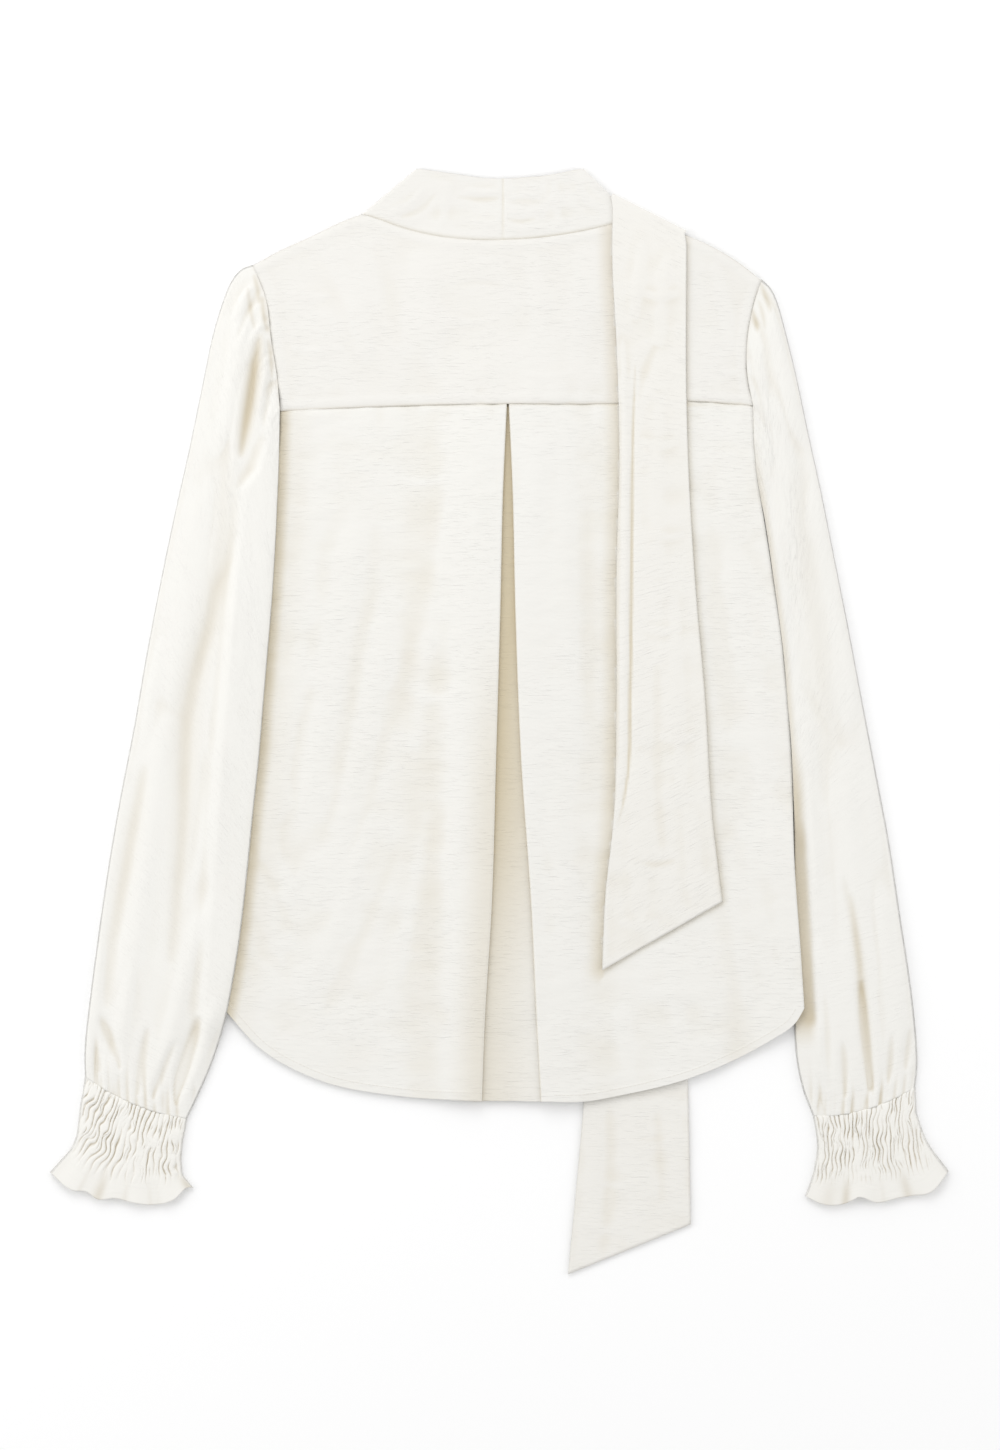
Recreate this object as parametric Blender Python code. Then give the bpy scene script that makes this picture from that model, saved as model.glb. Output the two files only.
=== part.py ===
"""A tie-neck blouse laid face down, back up, on a flat surface.

Sizes are in millimetres and become metres when a mesh is made. X runs across the
garment, +Y towards the collar, +Z up from the surface that it lies on. Left is the
wearer's left, which is -X because the back faces up.
"""

import bmesh
import bpy
import numpy as np

MM = 0.001

# Cloth thicknesses and the gaps between layers
WALL = 1.0
TIE_WALL = 1.2
SEAM_GAP = 0.3
LAYER_GAP = 0.5
TIE_REST_GAP = 0.6
FOLD_STEP = WALL + SEAM_GAP
HEM_EXTRA = 0.5
HEM_WIDTH = 6.0

# Buttons and the placket down the centre front
CENTRE_X = 2.6
PLACKET_HALF = 12.5
BUTTON_RADIUS = 5.5
BUTTON_THICKNESS = 2.0
BUTTON_COUNT = 6
BUTTON_TOP_Y = 193.0
BUTTON_PITCH = 75.0

# Outlines, each running away from the collar or from left to right
SHOULDER_LEFT = ((-172, 319), (-156, 328), (-132, 339), (-109, 350), (-96, 355))
SHOULDER_RIGHT = ((95, 351), (119, 344), (145, 334), (166, 322), (183, 309))
NECK_SEAM = (
    (-96, 355), (-86, 352), (-66, 345), (-37, 339), (3, 337),
    (39, 340), (62, 344), (84, 349), (95, 351),
)
COLLAR_TOP = ((-58, 387), (-31, 383), (1, 380), (36, 383), (59, 387))
ARMHOLE_LEFT_YOKE = ((-172, 319), (-163, 296), (-159, 266), (-155, 241), (-153, 217))
ARMHOLE_LEFT_BACK = ((-153, 217), (-154, 197), (-160, 176), (-170, 162))
ARMHOLE_RIGHT_YOKE = ((183, 309), (177, 289), (173, 266), (173, 242), (177, 221))
ARMHOLE_RIGHT_BACK = ((177, 221), (178, 191), (180, 170))
SIDE_LEFT = ((-170, 162), (-174, 121), (-181, 49), (-188, -27), (-194, -133), (-199, -194))
SIDE_RIGHT = ((180, 170), (188, 121), (198, 49), (204, -27), (206, -97), (211, -169), (213, -201))
YOKE_SEAM_LEFT = ((-153, 217), (-111, 219), (-55, 221), (6, 222))
YOKE_SEAM_RIGHT = ((6, 222), (71, 222), (132, 224), (177, 221))
HEM_LEFT = ((-199, -194), (-191, -203), (-167, -229), (-126, -251), (-69, -262), (-12, -265))
HEM_RIGHT = (
    (29, -266), (59, -266), (88, -261), (132, -250),
    (162, -238), (190, -223), (207, -211), (213, -201),
)

# The inverted pleat: where its two folds lie at each height, and how deep each is turned under
PLEAT_Y = (222, 163, 77, -27, -128, -212, -266)
PLEAT_LEFT_X = (5.6, 3, 1, -2, -5, -10, -12)
PLEAT_RIGHT_X = (6.4, 9, 11, 15, 22, 26, 29)
PLEAT_LEFT_DEPTH = (24, 22, 20, 16, 12, 8, 6)
PLEAT_RIGHT_DEPTH = (24, 22, 21, 19, 16, 13, 11)
PLEAT_LIFT = 2 * FOLD_STEP + 0.2
PLEAT_REACH = 30.0
PLEAT_SLOPE = 42.0

# The V of the front neckline with the bands along it, and the hem of the fronts, which stop
# short of the back's hem
V_POINT_Y = 245.0
V_BOW = 6.0
BAND_INNER_Y = 308.0
BAND_GAP = (0.1, 0.8)
FRONT_HEM_RISE = 12.0

# The tie end that is thrown over the right shoulder: its fold on the shoulder and its two edges
TIE_FOLD_LEFT = (79.5, 369.5)
TIE_FOLD_RIGHT = (131.0, 343.5)
TIE_RUN = (0.868, 0.498)
TIE_RUN_LENGTH = 130.0
TIE_OVER_LEFT = (
    (79.5, 369.5), (79, 324), (82, 264), (84, 187), (82, 105),
    (82, 15), (80, -67), (74, -125), (72, -174),
)
TIE_OVER_RIGHT = ((131, 343.5), (131, 225), (132, 187), (137, 98), (144, 15), (149, -67), (156, -126))

# The tie end that passes under the right front and shows below the hem
TIE_HANGING_LEFT = (
    (8, 261), (30, 190), (46, 85), (55, -55),
    (60, -180), (59, -267), (55, -314), (48, -387),
)
TIE_HANGING_RIGHT = ((36, 266), (76, 190), (96, 85), (116, -55), (130, -180), (132, -251), (134, -352))

# How far a layer takes to come down from what lies beneath it
REST_MARGIN = 7.0
REST_SLOPE = 40.0

# The right sleeve's thin inner edge is tucked under the body's side from this far down
TUCK_START = 40.0
TUCK_REACH = 9.0
TUCK_SLOPE = 54.0

# Sleeve sections from the armhole to the cuff: outer end, inner end, share of the armhole's
# curve, sag of the line towards the cuff, and hollow inside
SLEEVE_COLUMNS = ("outer_x", "outer_y", "inner_x", "inner_y", "bow", "sag", "hollow")
SLEEVE_LEFT = (
    (-172.5, 319.5, -153.5, 217, 1.00, 0, 0.4),
    (-181, 316, -153.8, 197, 0.85, 0, 1.6),
    (-188, 307, -154.3, 176, 0.68, 0, 2.6),
    (-194, 292, -155.3, 151, 0.52, 0, 3.2),
    (-201, 268, -156.7, 121, 0.38, 0, 3.4),
    (-209, 229, -158.9, 85, 0.27, 0, 3.4),
    (-218, 186, -162, 48, 0.18, 0, 3.4),
    (-227, 146, -165, 12, 0.11, 0, 3.4),
    (-237, 98, -168, -25, 0.06, 0, 3.4),
    (-247, 46, -172, -63, 0.02, 0, 3.4),
    (-256, -6, -176, -104, 0, 0, 3.4),
    (-265, -52, -181, -148, 0, 2, 3.4),
    (-273, -98, -187, -186, 0, 3, 3.4),
    (-280, -145, -193, -214, 0, 4, 3.2),
    (-286, -190, -201, -239, 0, 5, 2.8),
    (-290, -226, -210, -260, 0, 5, 1.8),
    (-290, -249, -218.5, -278, 0, 5, 0.8),
)
SLEEVE_RIGHT = (
    (183.5, 309.5, 180.5, 170, 1.00, 0, 0.4),
    (190, 303, 184, 155, 0.95, 0, 1.6),
    (195, 292, 187.5, 138, 0.85, 0, 2.6),
    (201, 270, 190.5, 118, 0.72, 0, 3.2),
    (208, 241, 194, 94, 0.55, 0, 3.4),
    (216, 203, 197, 68, 0.40, 0, 3.4),
    (225, 162, 200.5, 40, 0.27, 0, 3.4),
    (234, 117, 203, 12, 0.16, 0, 3.4),
    (244, 67, 205, -17, 0.08, 0, 3.4),
    (254, 14, 206, -48, 0.02, 0, 3.4),
    (264, -38, 206, -84, 0, 0, 3.4),
    (273, -86, 206, -121, 0, 2, 3.4),
    (281, -139, 206, -160, 0, 3, 3.4),
    (287, -178, 206, -198, 0, 4, 3.2),
    (291, -212, 207.5, -232, 0, 5, 2.8),
    (292.5, -238, 212, -256, 0, 6, 1.8),
    (291, -256, 219.5, -276, 0, 6, 0.8),
)

# Cuff sections from the gather line to the frill's edge, and how far the smocking stands out
CUFF_COLUMNS = ("outer_x", "outer_y", "inner_x", "inner_y", "sag", "hollow", "smocking", "frill")
CUFF_LEFT = (
    (-290, -249.4, -218.5, -278.4, 5, 0.8, 0.5, 0),
    (-291.5, -259, -220, -287, 5, 1.4, 1.0, 0),
    (-293, -267, -221.5, -294, 5, 1.6, 1.0, 0),
    (-294, -275, -222, -300, 5, 1.6, 1.0, 0),
    (-295, -283, -222.5, -306, 5, 1.6, 1.0, 0),
    (-296, -290, -222, -312, 6, 1.6, 0.9, 0),
    (-300, -299, -221.5, -317, 8, 1.4, 0.6, 0.4),
    (-307, -307, -218, -322, 11, 1.0, 0, 1.1),
    (-314.5, -315.5, -214, -327, 13, 0.6, 0, 1.8),
)
CUFF_RIGHT = (
    (291, -256.4, 219.5, -276.4, 6, 0.8, 0.5, 0),
    (291.7, -265, 221, -284, 6, 1.4, 1.0, 0),
    (292, -273, 222, -291, 6, 1.6, 1.0, 0),
    (294, -280, 222.5, -297, 6, 1.6, 1.0, 0),
    (296.5, -287, 222, -303, 6, 1.6, 1.0, 0),
    (299, -293, 221, -309, 7, 1.6, 0.9, 0),
    (304, -301, 219.5, -316, 8, 1.4, 0.6, 0.4),
    (309.5, -308, 217, -323, 11, 1.0, 0, 1.1),
    (314.5, -314.5, 214, -330, 14, 0.6, 0, 1.8),
)
SMOCKING_PITCH = 5.6
SMOCKING_ROW = 15.0
FRILL_WAVES = 7

# Folds that stand up from the cloth: from_x, from_y, to_x, to_y, half_width and height
SLEEVE_LEFT_FOLDS = (
    (-176, 300, -196, 180, 7, 2.0),
    (-164, 285, -170, 190, 5, 1.6),
    (-176, 255, -200, 90, 8, 1.8),
    (-205, 175, -232, 0, 12, 1.6),
    (-180, 120, -205, -110, 13, 1.8),
    (-232, 20, -262, -200, 10, 1.8),
    (-205, -120, -243, -270, 7, 2.0),
    (-252, -140, -272, -262, 6, 1.8),
    (-195, -190, -224, -276, 6, 1.8),
    (-280, -150, -287, -248, 5, 1.6),
)
SLEEVE_RIGHT_FOLDS = (
    (186, 300, 212, 190, 7, 2.0),
    (178, 280, 192, 170, 5, 1.6),
    (188, 240, 218, 90, 9, 1.8),
    (212, 170, 240, -10, 13, 1.6),
    (214, 20, 222, -150, 10, 1.8),
    (238, -20, 258, -200, 10, 1.8),
    (214, -150, 232, -268, 7, 2.0),
    (250, -120, 263, -262, 6, 1.8),
    (268, -110, 283, -250, 8, 1.8),
)
BACK_FOLDS = (
    (-96, 150, -138, -90, 14, 1.4),
    (-72, 100, -118, -130, 12, 1.0),
    (28, 205, 22, 130, 9, 0.8),
)


def clear_scene():
    for obj in list(bpy.data.objects):
        bpy.data.objects.remove(obj, do_unlink=True)


def smooth_between(values, at, where):
    """Smooth values at the places where, through the rows of values given at the places at."""
    tangents = np.gradient(values, at, axis=0)
    cell = np.clip(np.searchsorted(at, where, side="right") - 1, 0, len(at) - 2)
    width = np.diff(at)[cell][:, None]
    s = (where - at[cell])[:, None] / width
    start = (1 + 2 * s) * (1 - s) ** 2 * values[cell]
    end = s**2 * (3 - 2 * s) * values[cell + 1]
    leave = s * (1 - s) ** 2 * width * tangents[cell]
    arrive = s**2 * (s - 1) * width * tangents[cell + 1]
    return start + end + leave + arrive


def smooth_curve(points, fractions):
    """Points at these fractions of the length of a smooth curve through the given ones."""
    points = np.array(points, float)
    steps = np.hypot(*np.diff(points, axis=0).T)
    along = np.concatenate([[0], np.cumsum(steps)])
    return smooth_between(points, along, np.asarray(fractions, float) * along[-1])


def sections(table, columns, count):
    """The named columns of a table of sections, read smoothly at count even steps along it."""
    table = np.array(table, float)
    read = smooth_between(table, np.arange(len(table)), np.linspace(0, len(table) - 1, count))
    return dict(zip(columns, read.T))


def joined_curve(curves, counts):
    """Several curves end to end, each with its own number of steps and sharp where they meet."""
    pieces = [smooth_curve(c, np.linspace(0, 1, n + 1))[:-1] for c, n in zip(curves, counts)]
    return np.concatenate(pieces + [np.array(curves[-1][-1:], float)])


def patch(top, bottom, left, right, down=None):
    """The grid of points, rows by columns, that fills the space between four edges.

    down gives how far down each row lies, from 0 to 1, where the rows aren't even.
    """
    v = (np.linspace(0, 1, len(left)) if down is None else down)[:, None, None]
    u = np.linspace(0, 1, len(top))[None, :, None]
    between_rows = (1 - v) * top + v * bottom
    between_columns = (1 - u) * left[:, None] + u * right[:, None]
    corners = (1 - v) * ((1 - u) * top[0] + u * top[-1]) + v * ((1 - u) * bottom[0] + u * bottom[-1])
    return between_rows + between_columns - corners


def fade(distance, full, none):
    """1 up to the distance full and 0 from the distance none on, smooth between them."""
    s = np.clip((none - distance) / (none - full), 0, 1)
    return s * s * (3 - 2 * s)


def distance_to_path(x, y, path):
    """How far each point lies from a line of straight stretches."""
    path = np.array(path, float)
    nearest = np.full(np.shape(x), np.inf)
    for start, end in zip(path[:-1], path[1:]):
        run = end - start
        along = ((x - start[0]) * run[0] + (y - start[1]) * run[1]) / (run @ run)
        along = np.clip(along, 0, 1)
        apart = np.hypot(x - start[0] - along * run[0], y - start[1] - along * run[1])
        nearest = np.minimum(nearest, apart)
    return nearest


def fold_relief(x, y, folds):
    """The height that soft ridges add: round across, and tapering to nothing at each end."""
    total = np.zeros(np.shape(x))
    for from_x, from_y, to_x, to_y, half_width, height in folds:
        run_x = to_x - from_x
        run_y = to_y - from_y
        length = np.hypot(run_x, run_y)
        along = ((x - from_x) * run_x + (y - from_y) * run_y) / length**2
        across = ((x - from_x) * run_y - (y - from_y) * run_x) / length
        ends = fade(np.abs(along - 0.5), 0.3, 0.55)
        total = np.maximum(total, height * ends * np.exp(-((across / half_width) ** 2)))
    return total


def heap(*heights):
    """One smooth height over several things that lie side by side."""
    return np.cbrt(sum(np.asarray(h, float) ** 3 for h in heights))


def tie_rows(left, right, fractions):
    """The rows of a tie end: both ends of each row, spread evenly down its two edges."""
    return np.stack([smooth_curve(left, fractions), smooth_curve(right, fractions)], axis=1)


def under_tie_cover(x, y):
    """The height of the tie ends that lie on the surface under the fronts."""
    hanging = tie_rows(TIE_HANGING_LEFT, TIE_HANGING_RIGHT, np.linspace(0, 1, 12))
    middle = hanging.mean(axis=1)
    half = np.hypot(*(hanging[:, 1] - hanging[:, 0]).T) / 2
    nearest = np.full(np.shape(x), np.inf)
    for k in range(len(middle) - 1):
        apart = distance_to_path(x, y, middle[k : k + 2]) - max(half[k], half[k + 1])
        nearest = np.minimum(nearest, apart)
    thrown_start = (np.array(TIE_FOLD_LEFT) + TIE_FOLD_RIGHT) / 2
    thrown_half = np.hypot(*(np.array(TIE_FOLD_LEFT) - TIE_FOLD_RIGHT)) / 2
    thrown_end = thrown_start - np.array(TIE_RUN) * TIE_RUN_LENGTH
    thrown = distance_to_path(x, y, (thrown_start, thrown_end)) - thrown_half
    height = TIE_WALL + SEAM_GAP
    return heap(
        height * fade(nearest, REST_MARGIN, REST_MARGIN + REST_SLOPE),
        height * fade(thrown, REST_MARGIN, REST_MARGIN + REST_SLOPE),
    )


def button_cover(x, y):
    """The height of the row of buttons, which lie face down under the placket."""
    last = BUTTON_TOP_Y - BUTTON_PITCH * (BUTTON_COUNT - 1)
    apart = distance_to_path(x, y, ((CENTRE_X, BUTTON_TOP_Y), (CENTRE_X, last)))
    reach = BUTTON_RADIUS + REST_MARGIN
    return (BUTTON_THICKNESS + SEAM_GAP) * fade(apart, reach, reach + REST_SLOPE)


def tuck_cover(x, y):
    """The height of the right sleeve's thin inner edge, which is tucked under the body's side."""
    line = np.array(SIDE_RIGHT, float)
    side_x = np.interp(-y, -line[:, 1], line[:, 0])
    across = fade(side_x - x, TUCK_REACH, TUCK_REACH + TUCK_SLOPE)
    along = 1 - fade(-y, TUCK_START, TUCK_START + TUCK_SLOPE)
    return (2 * WALL + 2 * SEAM_GAP) * across * along


def front_rest(x, y):
    """The height of the underside of the fronts and of the front neck bands."""
    return heap(under_tie_cover(x, y), button_cover(x, y), tuck_cover(x, y))


def placket_lift(x, y):
    """What the left front adds where it crosses the right front, under the back."""
    apart = np.abs(x - CENTRE_X)
    reach = PLACKET_HALF + 3
    along = fade(y, V_POINT_Y, V_POINT_Y + REST_SLOPE)
    return (WALL + LAYER_GAP) * fade(apart, reach, reach + REST_SLOPE) * along


def back_rest(x, y):
    """The height of the underside of the yoke, the collar's back and the pleat's underlay."""
    return front_rest(x, y) + placket_lift(x, y) + WALL + LAYER_GAP


def outer_back_rest(x, y):
    """The height of the underside of the back's outer layer, which rises over the pleat."""
    middle = np.interp(-y, [-v for v in PLEAT_Y], (np.array(PLEAT_LEFT_X) + PLEAT_RIGHT_X) / 2)
    across = fade(np.abs(x - middle), PLEAT_REACH, PLEAT_REACH + PLEAT_SLOPE)
    along = fade(y, YOKE_SEAM_LEFT[-1][1] + 4, YOKE_SEAM_LEFT[-1][1] + 4 + REST_SLOPE)
    folds = fold_relief(x, y, BACK_FOLDS)
    return back_rest(x, y) + PLEAT_LIFT * across * along + folds


def add_object(name, points, faces, colour, roughness=0.6):
    """Makes one closed mesh object, facing out, from points in millimetres."""
    mesh = bpy.data.meshes.new(name)
    mesh.from_pydata((points * MM).tolist(), [], faces)
    shaping = bmesh.new()
    shaping.from_mesh(mesh)
    bmesh.ops.recalc_face_normals(shaping, faces=shaping.faces)
    shaping.to_mesh(mesh)
    shaping.free()
    mesh.shade_smooth()
    material = bpy.data.materials.new(name)
    material.use_nodes = True
    shader = material.node_tree.nodes["Principled BSDF"]
    shader.inputs["Base Color"].default_value = (*colour, 1)
    shader.inputs["Roughness"].default_value = roughness
    mesh.materials.append(material)
    obj = bpy.data.objects.new(name, mesh)
    bpy.context.scene.collection.objects.link(obj)


def grid_faces(rows, columns, first=0, around=False):
    """The four-sided faces of a grid of points, closed in a ring if it goes around."""
    faces = []
    for row in range(rows - 1):
        for column in range(columns if around else columns - 1):
            beside = (column + 1) % columns
            here = first + row * columns
            below = here + columns
            faces.append((here + column, here + beside, below + beside, below + column))
    return faces


def rim_faces(loop, shift):
    """The faces that join a closed loop of points to the same loop of the other surface."""
    return [(a, b, b + shift, a + shift) for a, b in zip(loop, loop[1:] + loop[:1])]


def cloth_normals(middle):
    """The direction that each point of a sheet faces, from its neighbours along and across."""

    def mean_run(points):
        runs = np.diff(points, axis=0)
        runs /= np.linalg.norm(runs, axis=2, keepdims=True)
        padded = np.concatenate([runs[:1], runs, runs[-1:]])
        return padded[:-1] + padded[1:]

    down = mean_run(middle)
    across = mean_run(middle.swapaxes(0, 1)).swapaxes(0, 1)
    normals = np.cross(across, down)
    return normals / np.linalg.norm(normals, axis=2, keepdims=True)


def add_sheet(name, middle, thickness, colour):
    """A sheet of cloth from the grid of its middle surface and its thickness at each point."""
    rows, columns = middle.shape[:2]
    offset = cloth_normals(middle) * np.broadcast_to(thickness, (rows, columns))[..., None] / 2
    points = np.concatenate([(middle + offset).reshape(-1, 3), (middle - offset).reshape(-1, 3)])
    count = rows * columns
    top_edge = list(range(columns))
    right_edge = [r * columns + columns - 1 for r in range(1, rows)]
    bottom_edge = [(rows - 1) * columns + c for c in range(columns - 2, -1, -1)]
    left_edge = [r * columns for r in range(rows - 2, 0, -1)]
    faces = grid_faces(rows, columns) + grid_faces(rows, columns, count)
    faces += rim_faces(top_edge + right_edge + bottom_edge + left_edge, count)
    add_object(name, points, faces, colour)


def add_tube(name, outer, inner, colour):
    """A tube of cloth from the rings of its outer and its inner surface, open at both ends."""
    rows, columns = outer.shape[:2]
    count = rows * columns
    points = np.concatenate([outer.reshape(-1, 3), inner.reshape(-1, 3)])
    first_ring = list(range(columns))
    last_ring = [(rows - 1) * columns + c for c in range(columns)]
    faces = grid_faces(rows, columns, 0, True) + grid_faces(rows, columns, count, True)
    faces += rim_faces(first_ring, count) + rim_faces(last_ring, count)
    add_object(name, points, faces, colour)


def with_height(plan, height):
    return np.concatenate([plan, height[..., None]], axis=2)


def fold_arc(radius, count=3):
    """The points of a half turn between two layers: how far out of the fold, and the rise."""
    angles = np.radians(np.linspace(-90, 90, count + 2)[1:-1])
    return radius * (1 - np.cos(angles)), radius * np.sin(angles)


def add_yoke():
    """The wide back yoke, from the neck seam and the shoulders down to its straight seam."""
    top = joined_curve((SHOULDER_LEFT, NECK_SEAM, SHOULDER_RIGHT), (5, 12, 6))
    bottom = joined_curve((YOKE_SEAM_LEFT, YOKE_SEAM_RIGHT), (12, 11))
    bottom[:, 1] += SEAM_GAP
    fractions = np.linspace(0, 1, 10)
    left = smooth_curve(ARMHOLE_LEFT_YOKE, fractions)
    right = smooth_curve(ARMHOLE_RIGHT_YOKE, fractions)
    left[-1] = bottom[0]
    right[-1] = bottom[-1]
    plan = patch(top, bottom, left, right)
    height = outer_back_rest(plan[..., 0], plan[..., 1]) + WALL / 2
    add_sheet("back_yoke", with_height(plan, height), WALL, YOKE_COLOUR)


def add_back_panel():
    """The back below the yoke, one cloth with an inverted pleat: fold, underlay, fold."""
    hem_share = HEM_WIDTH / (PLEAT_Y[0] - PLEAT_Y[-1])
    rows = np.concatenate([np.linspace(0, 1 - hem_share - 0.003, 18), (1 - hem_share, 1.0)])
    pleat_y = np.interp(rows, (0, 1), (PLEAT_Y[0] - SEAM_GAP, PLEAT_Y[-1]))
    down = [-v for v in PLEAT_Y]
    left_x = np.interp(-pleat_y, down, PLEAT_LEFT_X)
    right_x = np.interp(-pleat_y, down, PLEAT_RIGHT_X)
    left_depth = np.interp(-pleat_y, down, PLEAT_LEFT_DEPTH)
    right_depth = np.interp(-pleat_y, down, PLEAT_RIGHT_DEPTH)

    def half(seam, hem, armhole, side, fold_x, columns, mirrored):
        """One outer half as a plan grid, running from left to right."""
        outline = joined_curve((armhole, side), (8, 29))
        steps = np.concatenate([[0], np.cumsum(np.hypot(*np.diff(outline, axis=0).T))])
        edge = np.stack([np.interp(rows * steps[-1], steps, outline[:, k]) for k in (0, 1)], axis=1)
        fold = np.stack([fold_x, pleat_y], axis=1)
        top = smooth_curve(seam, np.linspace(0, 1, columns)) - (0, SEAM_GAP)
        bottom = smooth_curve(hem, np.linspace(0, 1, columns))
        near, far = (0, -1) if mirrored else (-1, 0)
        edge[0], edge[-1] = top[far], bottom[far]
        fold[-1, 1] = bottom[near, 1]
        top[near], bottom[near] = fold[0], fold[-1]
        left, right = (fold, edge) if mirrored else (edge, fold)
        return patch(top, bottom, left, right, rows)

    inset, rise = fold_arc(FOLD_STEP / 2)
    edge_inset = WALL / 2
    turn_inset = edge_inset + FOLD_STEP / 2
    left_fold_x = left_x - turn_inset
    right_fold_x = right_x + turn_inset
    outer_columns = 12
    left_half = half(
        YOKE_SEAM_LEFT, HEM_LEFT, ARMHOLE_LEFT_BACK, SIDE_LEFT, left_fold_x, outer_columns, False
    )
    right_half = half(
        YOKE_SEAM_RIGHT, HEM_RIGHT, ARMHOLE_RIGHT_BACK, SIDE_RIGHT, right_fold_x, outer_columns, True
    )

    def column(x, level):
        """One column of the folded part: its place across, and its layer, 0 for the underlay."""
        y = left_half[:, -1, 1] + (right_half[:, 0, 1] - left_half[:, -1, 1]) * np.clip(
            (x - left_x) / np.maximum(right_x - left_x, 1), 0, 1
        )
        height = back_rest(x, y) + WALL / 2 + level * FOLD_STEP
        return np.stack([x, y, height], axis=1)

    folded = []
    for out, up in zip(inset[::-1], rise[::-1]):
        folded.append(column(left_x - edge_inset - out, 1.5 + up / FOLD_STEP))
    folded.append(column(left_x - turn_inset - 1, 1))
    folded.append(column(left_x - left_depth / 2, 1))
    for out, up in zip(inset[::-1], rise[::-1]):
        folded.append(column(left_x - left_depth + edge_inset + out, 0.5 + up / FOLD_STEP))
    for share in np.linspace(0.08, 0.92, 5):
        folded.append(column((left_x - left_depth) * (1 - share) + (right_x + right_depth) * share, 0))
    for out, up in zip(inset, rise):
        folded.append(column(right_x + right_depth - edge_inset - out, 0.5 + up / FOLD_STEP))
    folded.append(column(right_x + right_depth / 2, 1))
    folded.append(column(right_x + turn_inset + 1, 1))
    for out, up in zip(inset, rise):
        folded.append(column(right_x + edge_inset + out, 1.5 + up / FOLD_STEP))
    halves = [
        with_height(plan, outer_back_rest(plan[..., 0], plan[..., 1]) + WALL / 2)
        for plan in (left_half, right_half)
    ]
    middle = np.concatenate([halves[0], np.stack(folded, axis=1), halves[1]], axis=1)
    thickness = np.full(middle.shape[:2], WALL)
    thickness[-2:, :outer_columns] += HEM_EXTRA / 2
    thickness[-2:, -outer_columns:] += HEM_EXTRA / 2
    add_sheet("back_panel", middle, thickness, CLOTH_COLOUR)


def front_edge(side):
    """The V and the placket's edge of one front; side is -1 for left and 1 for right."""
    neck = np.array((NECK_SEAM[0] if side < 0 else NECK_SEAM[-1]), float)
    point = np.array((CENTRE_X + side * 0.4, V_POINT_Y))
    t = np.linspace(0, 1, 7)[:, None]
    run = point - neck
    bow = np.array((-run[1], run[0])) / np.hypot(*run) * side * V_BOW
    return neck + run * t + bow * 4 * t * (1 - t)


def add_front(name, side):
    """One front, hidden under the back: shoulder, armhole and side, hem, placket and V neck."""
    shoulder = SHOULDER_LEFT if side < 0 else SHOULDER_RIGHT[::-1]
    armhole = (
        (ARMHOLE_LEFT_YOKE, ARMHOLE_LEFT_BACK) if side < 0 else (ARMHOLE_RIGHT_YOKE, ARMHOLE_RIGHT_BACK)
    )
    outline = SIDE_LEFT if side < 0 else SIDE_RIGHT
    v_edge = front_edge(side)
    hem_end = np.array(outline[-1], float) + (0, 2)
    overlap_x = CENTRE_X - side * PLACKET_HALF
    placket_foot = np.array((overlap_x, HEM_LEFT[-1][1] + FRONT_HEM_RISE))
    placket_top = np.array((overlap_x, V_POINT_Y - 8))
    down = np.linspace(0, 1, 15)[1:, None]
    centre = np.concatenate([v_edge, placket_top + (placket_foot - placket_top) * down])
    rows = len(centre)
    edge = joined_curve((*armhole, outline), (5, 2, rows - 8))
    edge[-1] = hem_end
    across = np.linspace(0, 1, 12)
    top = smooth_curve(shoulder, across)
    top[-1] = centre[0]
    hem = HEM_LEFT if side < 0 else HEM_RIGHT[::-1]
    bottom = smooth_curve(hem, across)
    bottom[:, 1] += FRONT_HEM_RISE
    bottom = bottom + (1 - across[:, None]) * (hem_end - bottom[0])
    bottom = bottom + across[:, None] * (placket_foot - bottom[-1])
    plan = patch(top, bottom, edge, centre)
    height = front_rest(plan[..., 0], plan[..., 1]) + WALL / 2
    if side < 0:
        height = height + placket_lift(plan[..., 0], plan[..., 1])
    add_sheet(name, with_height(plan, height), WALL, CLOTH_COLOUR)


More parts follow.
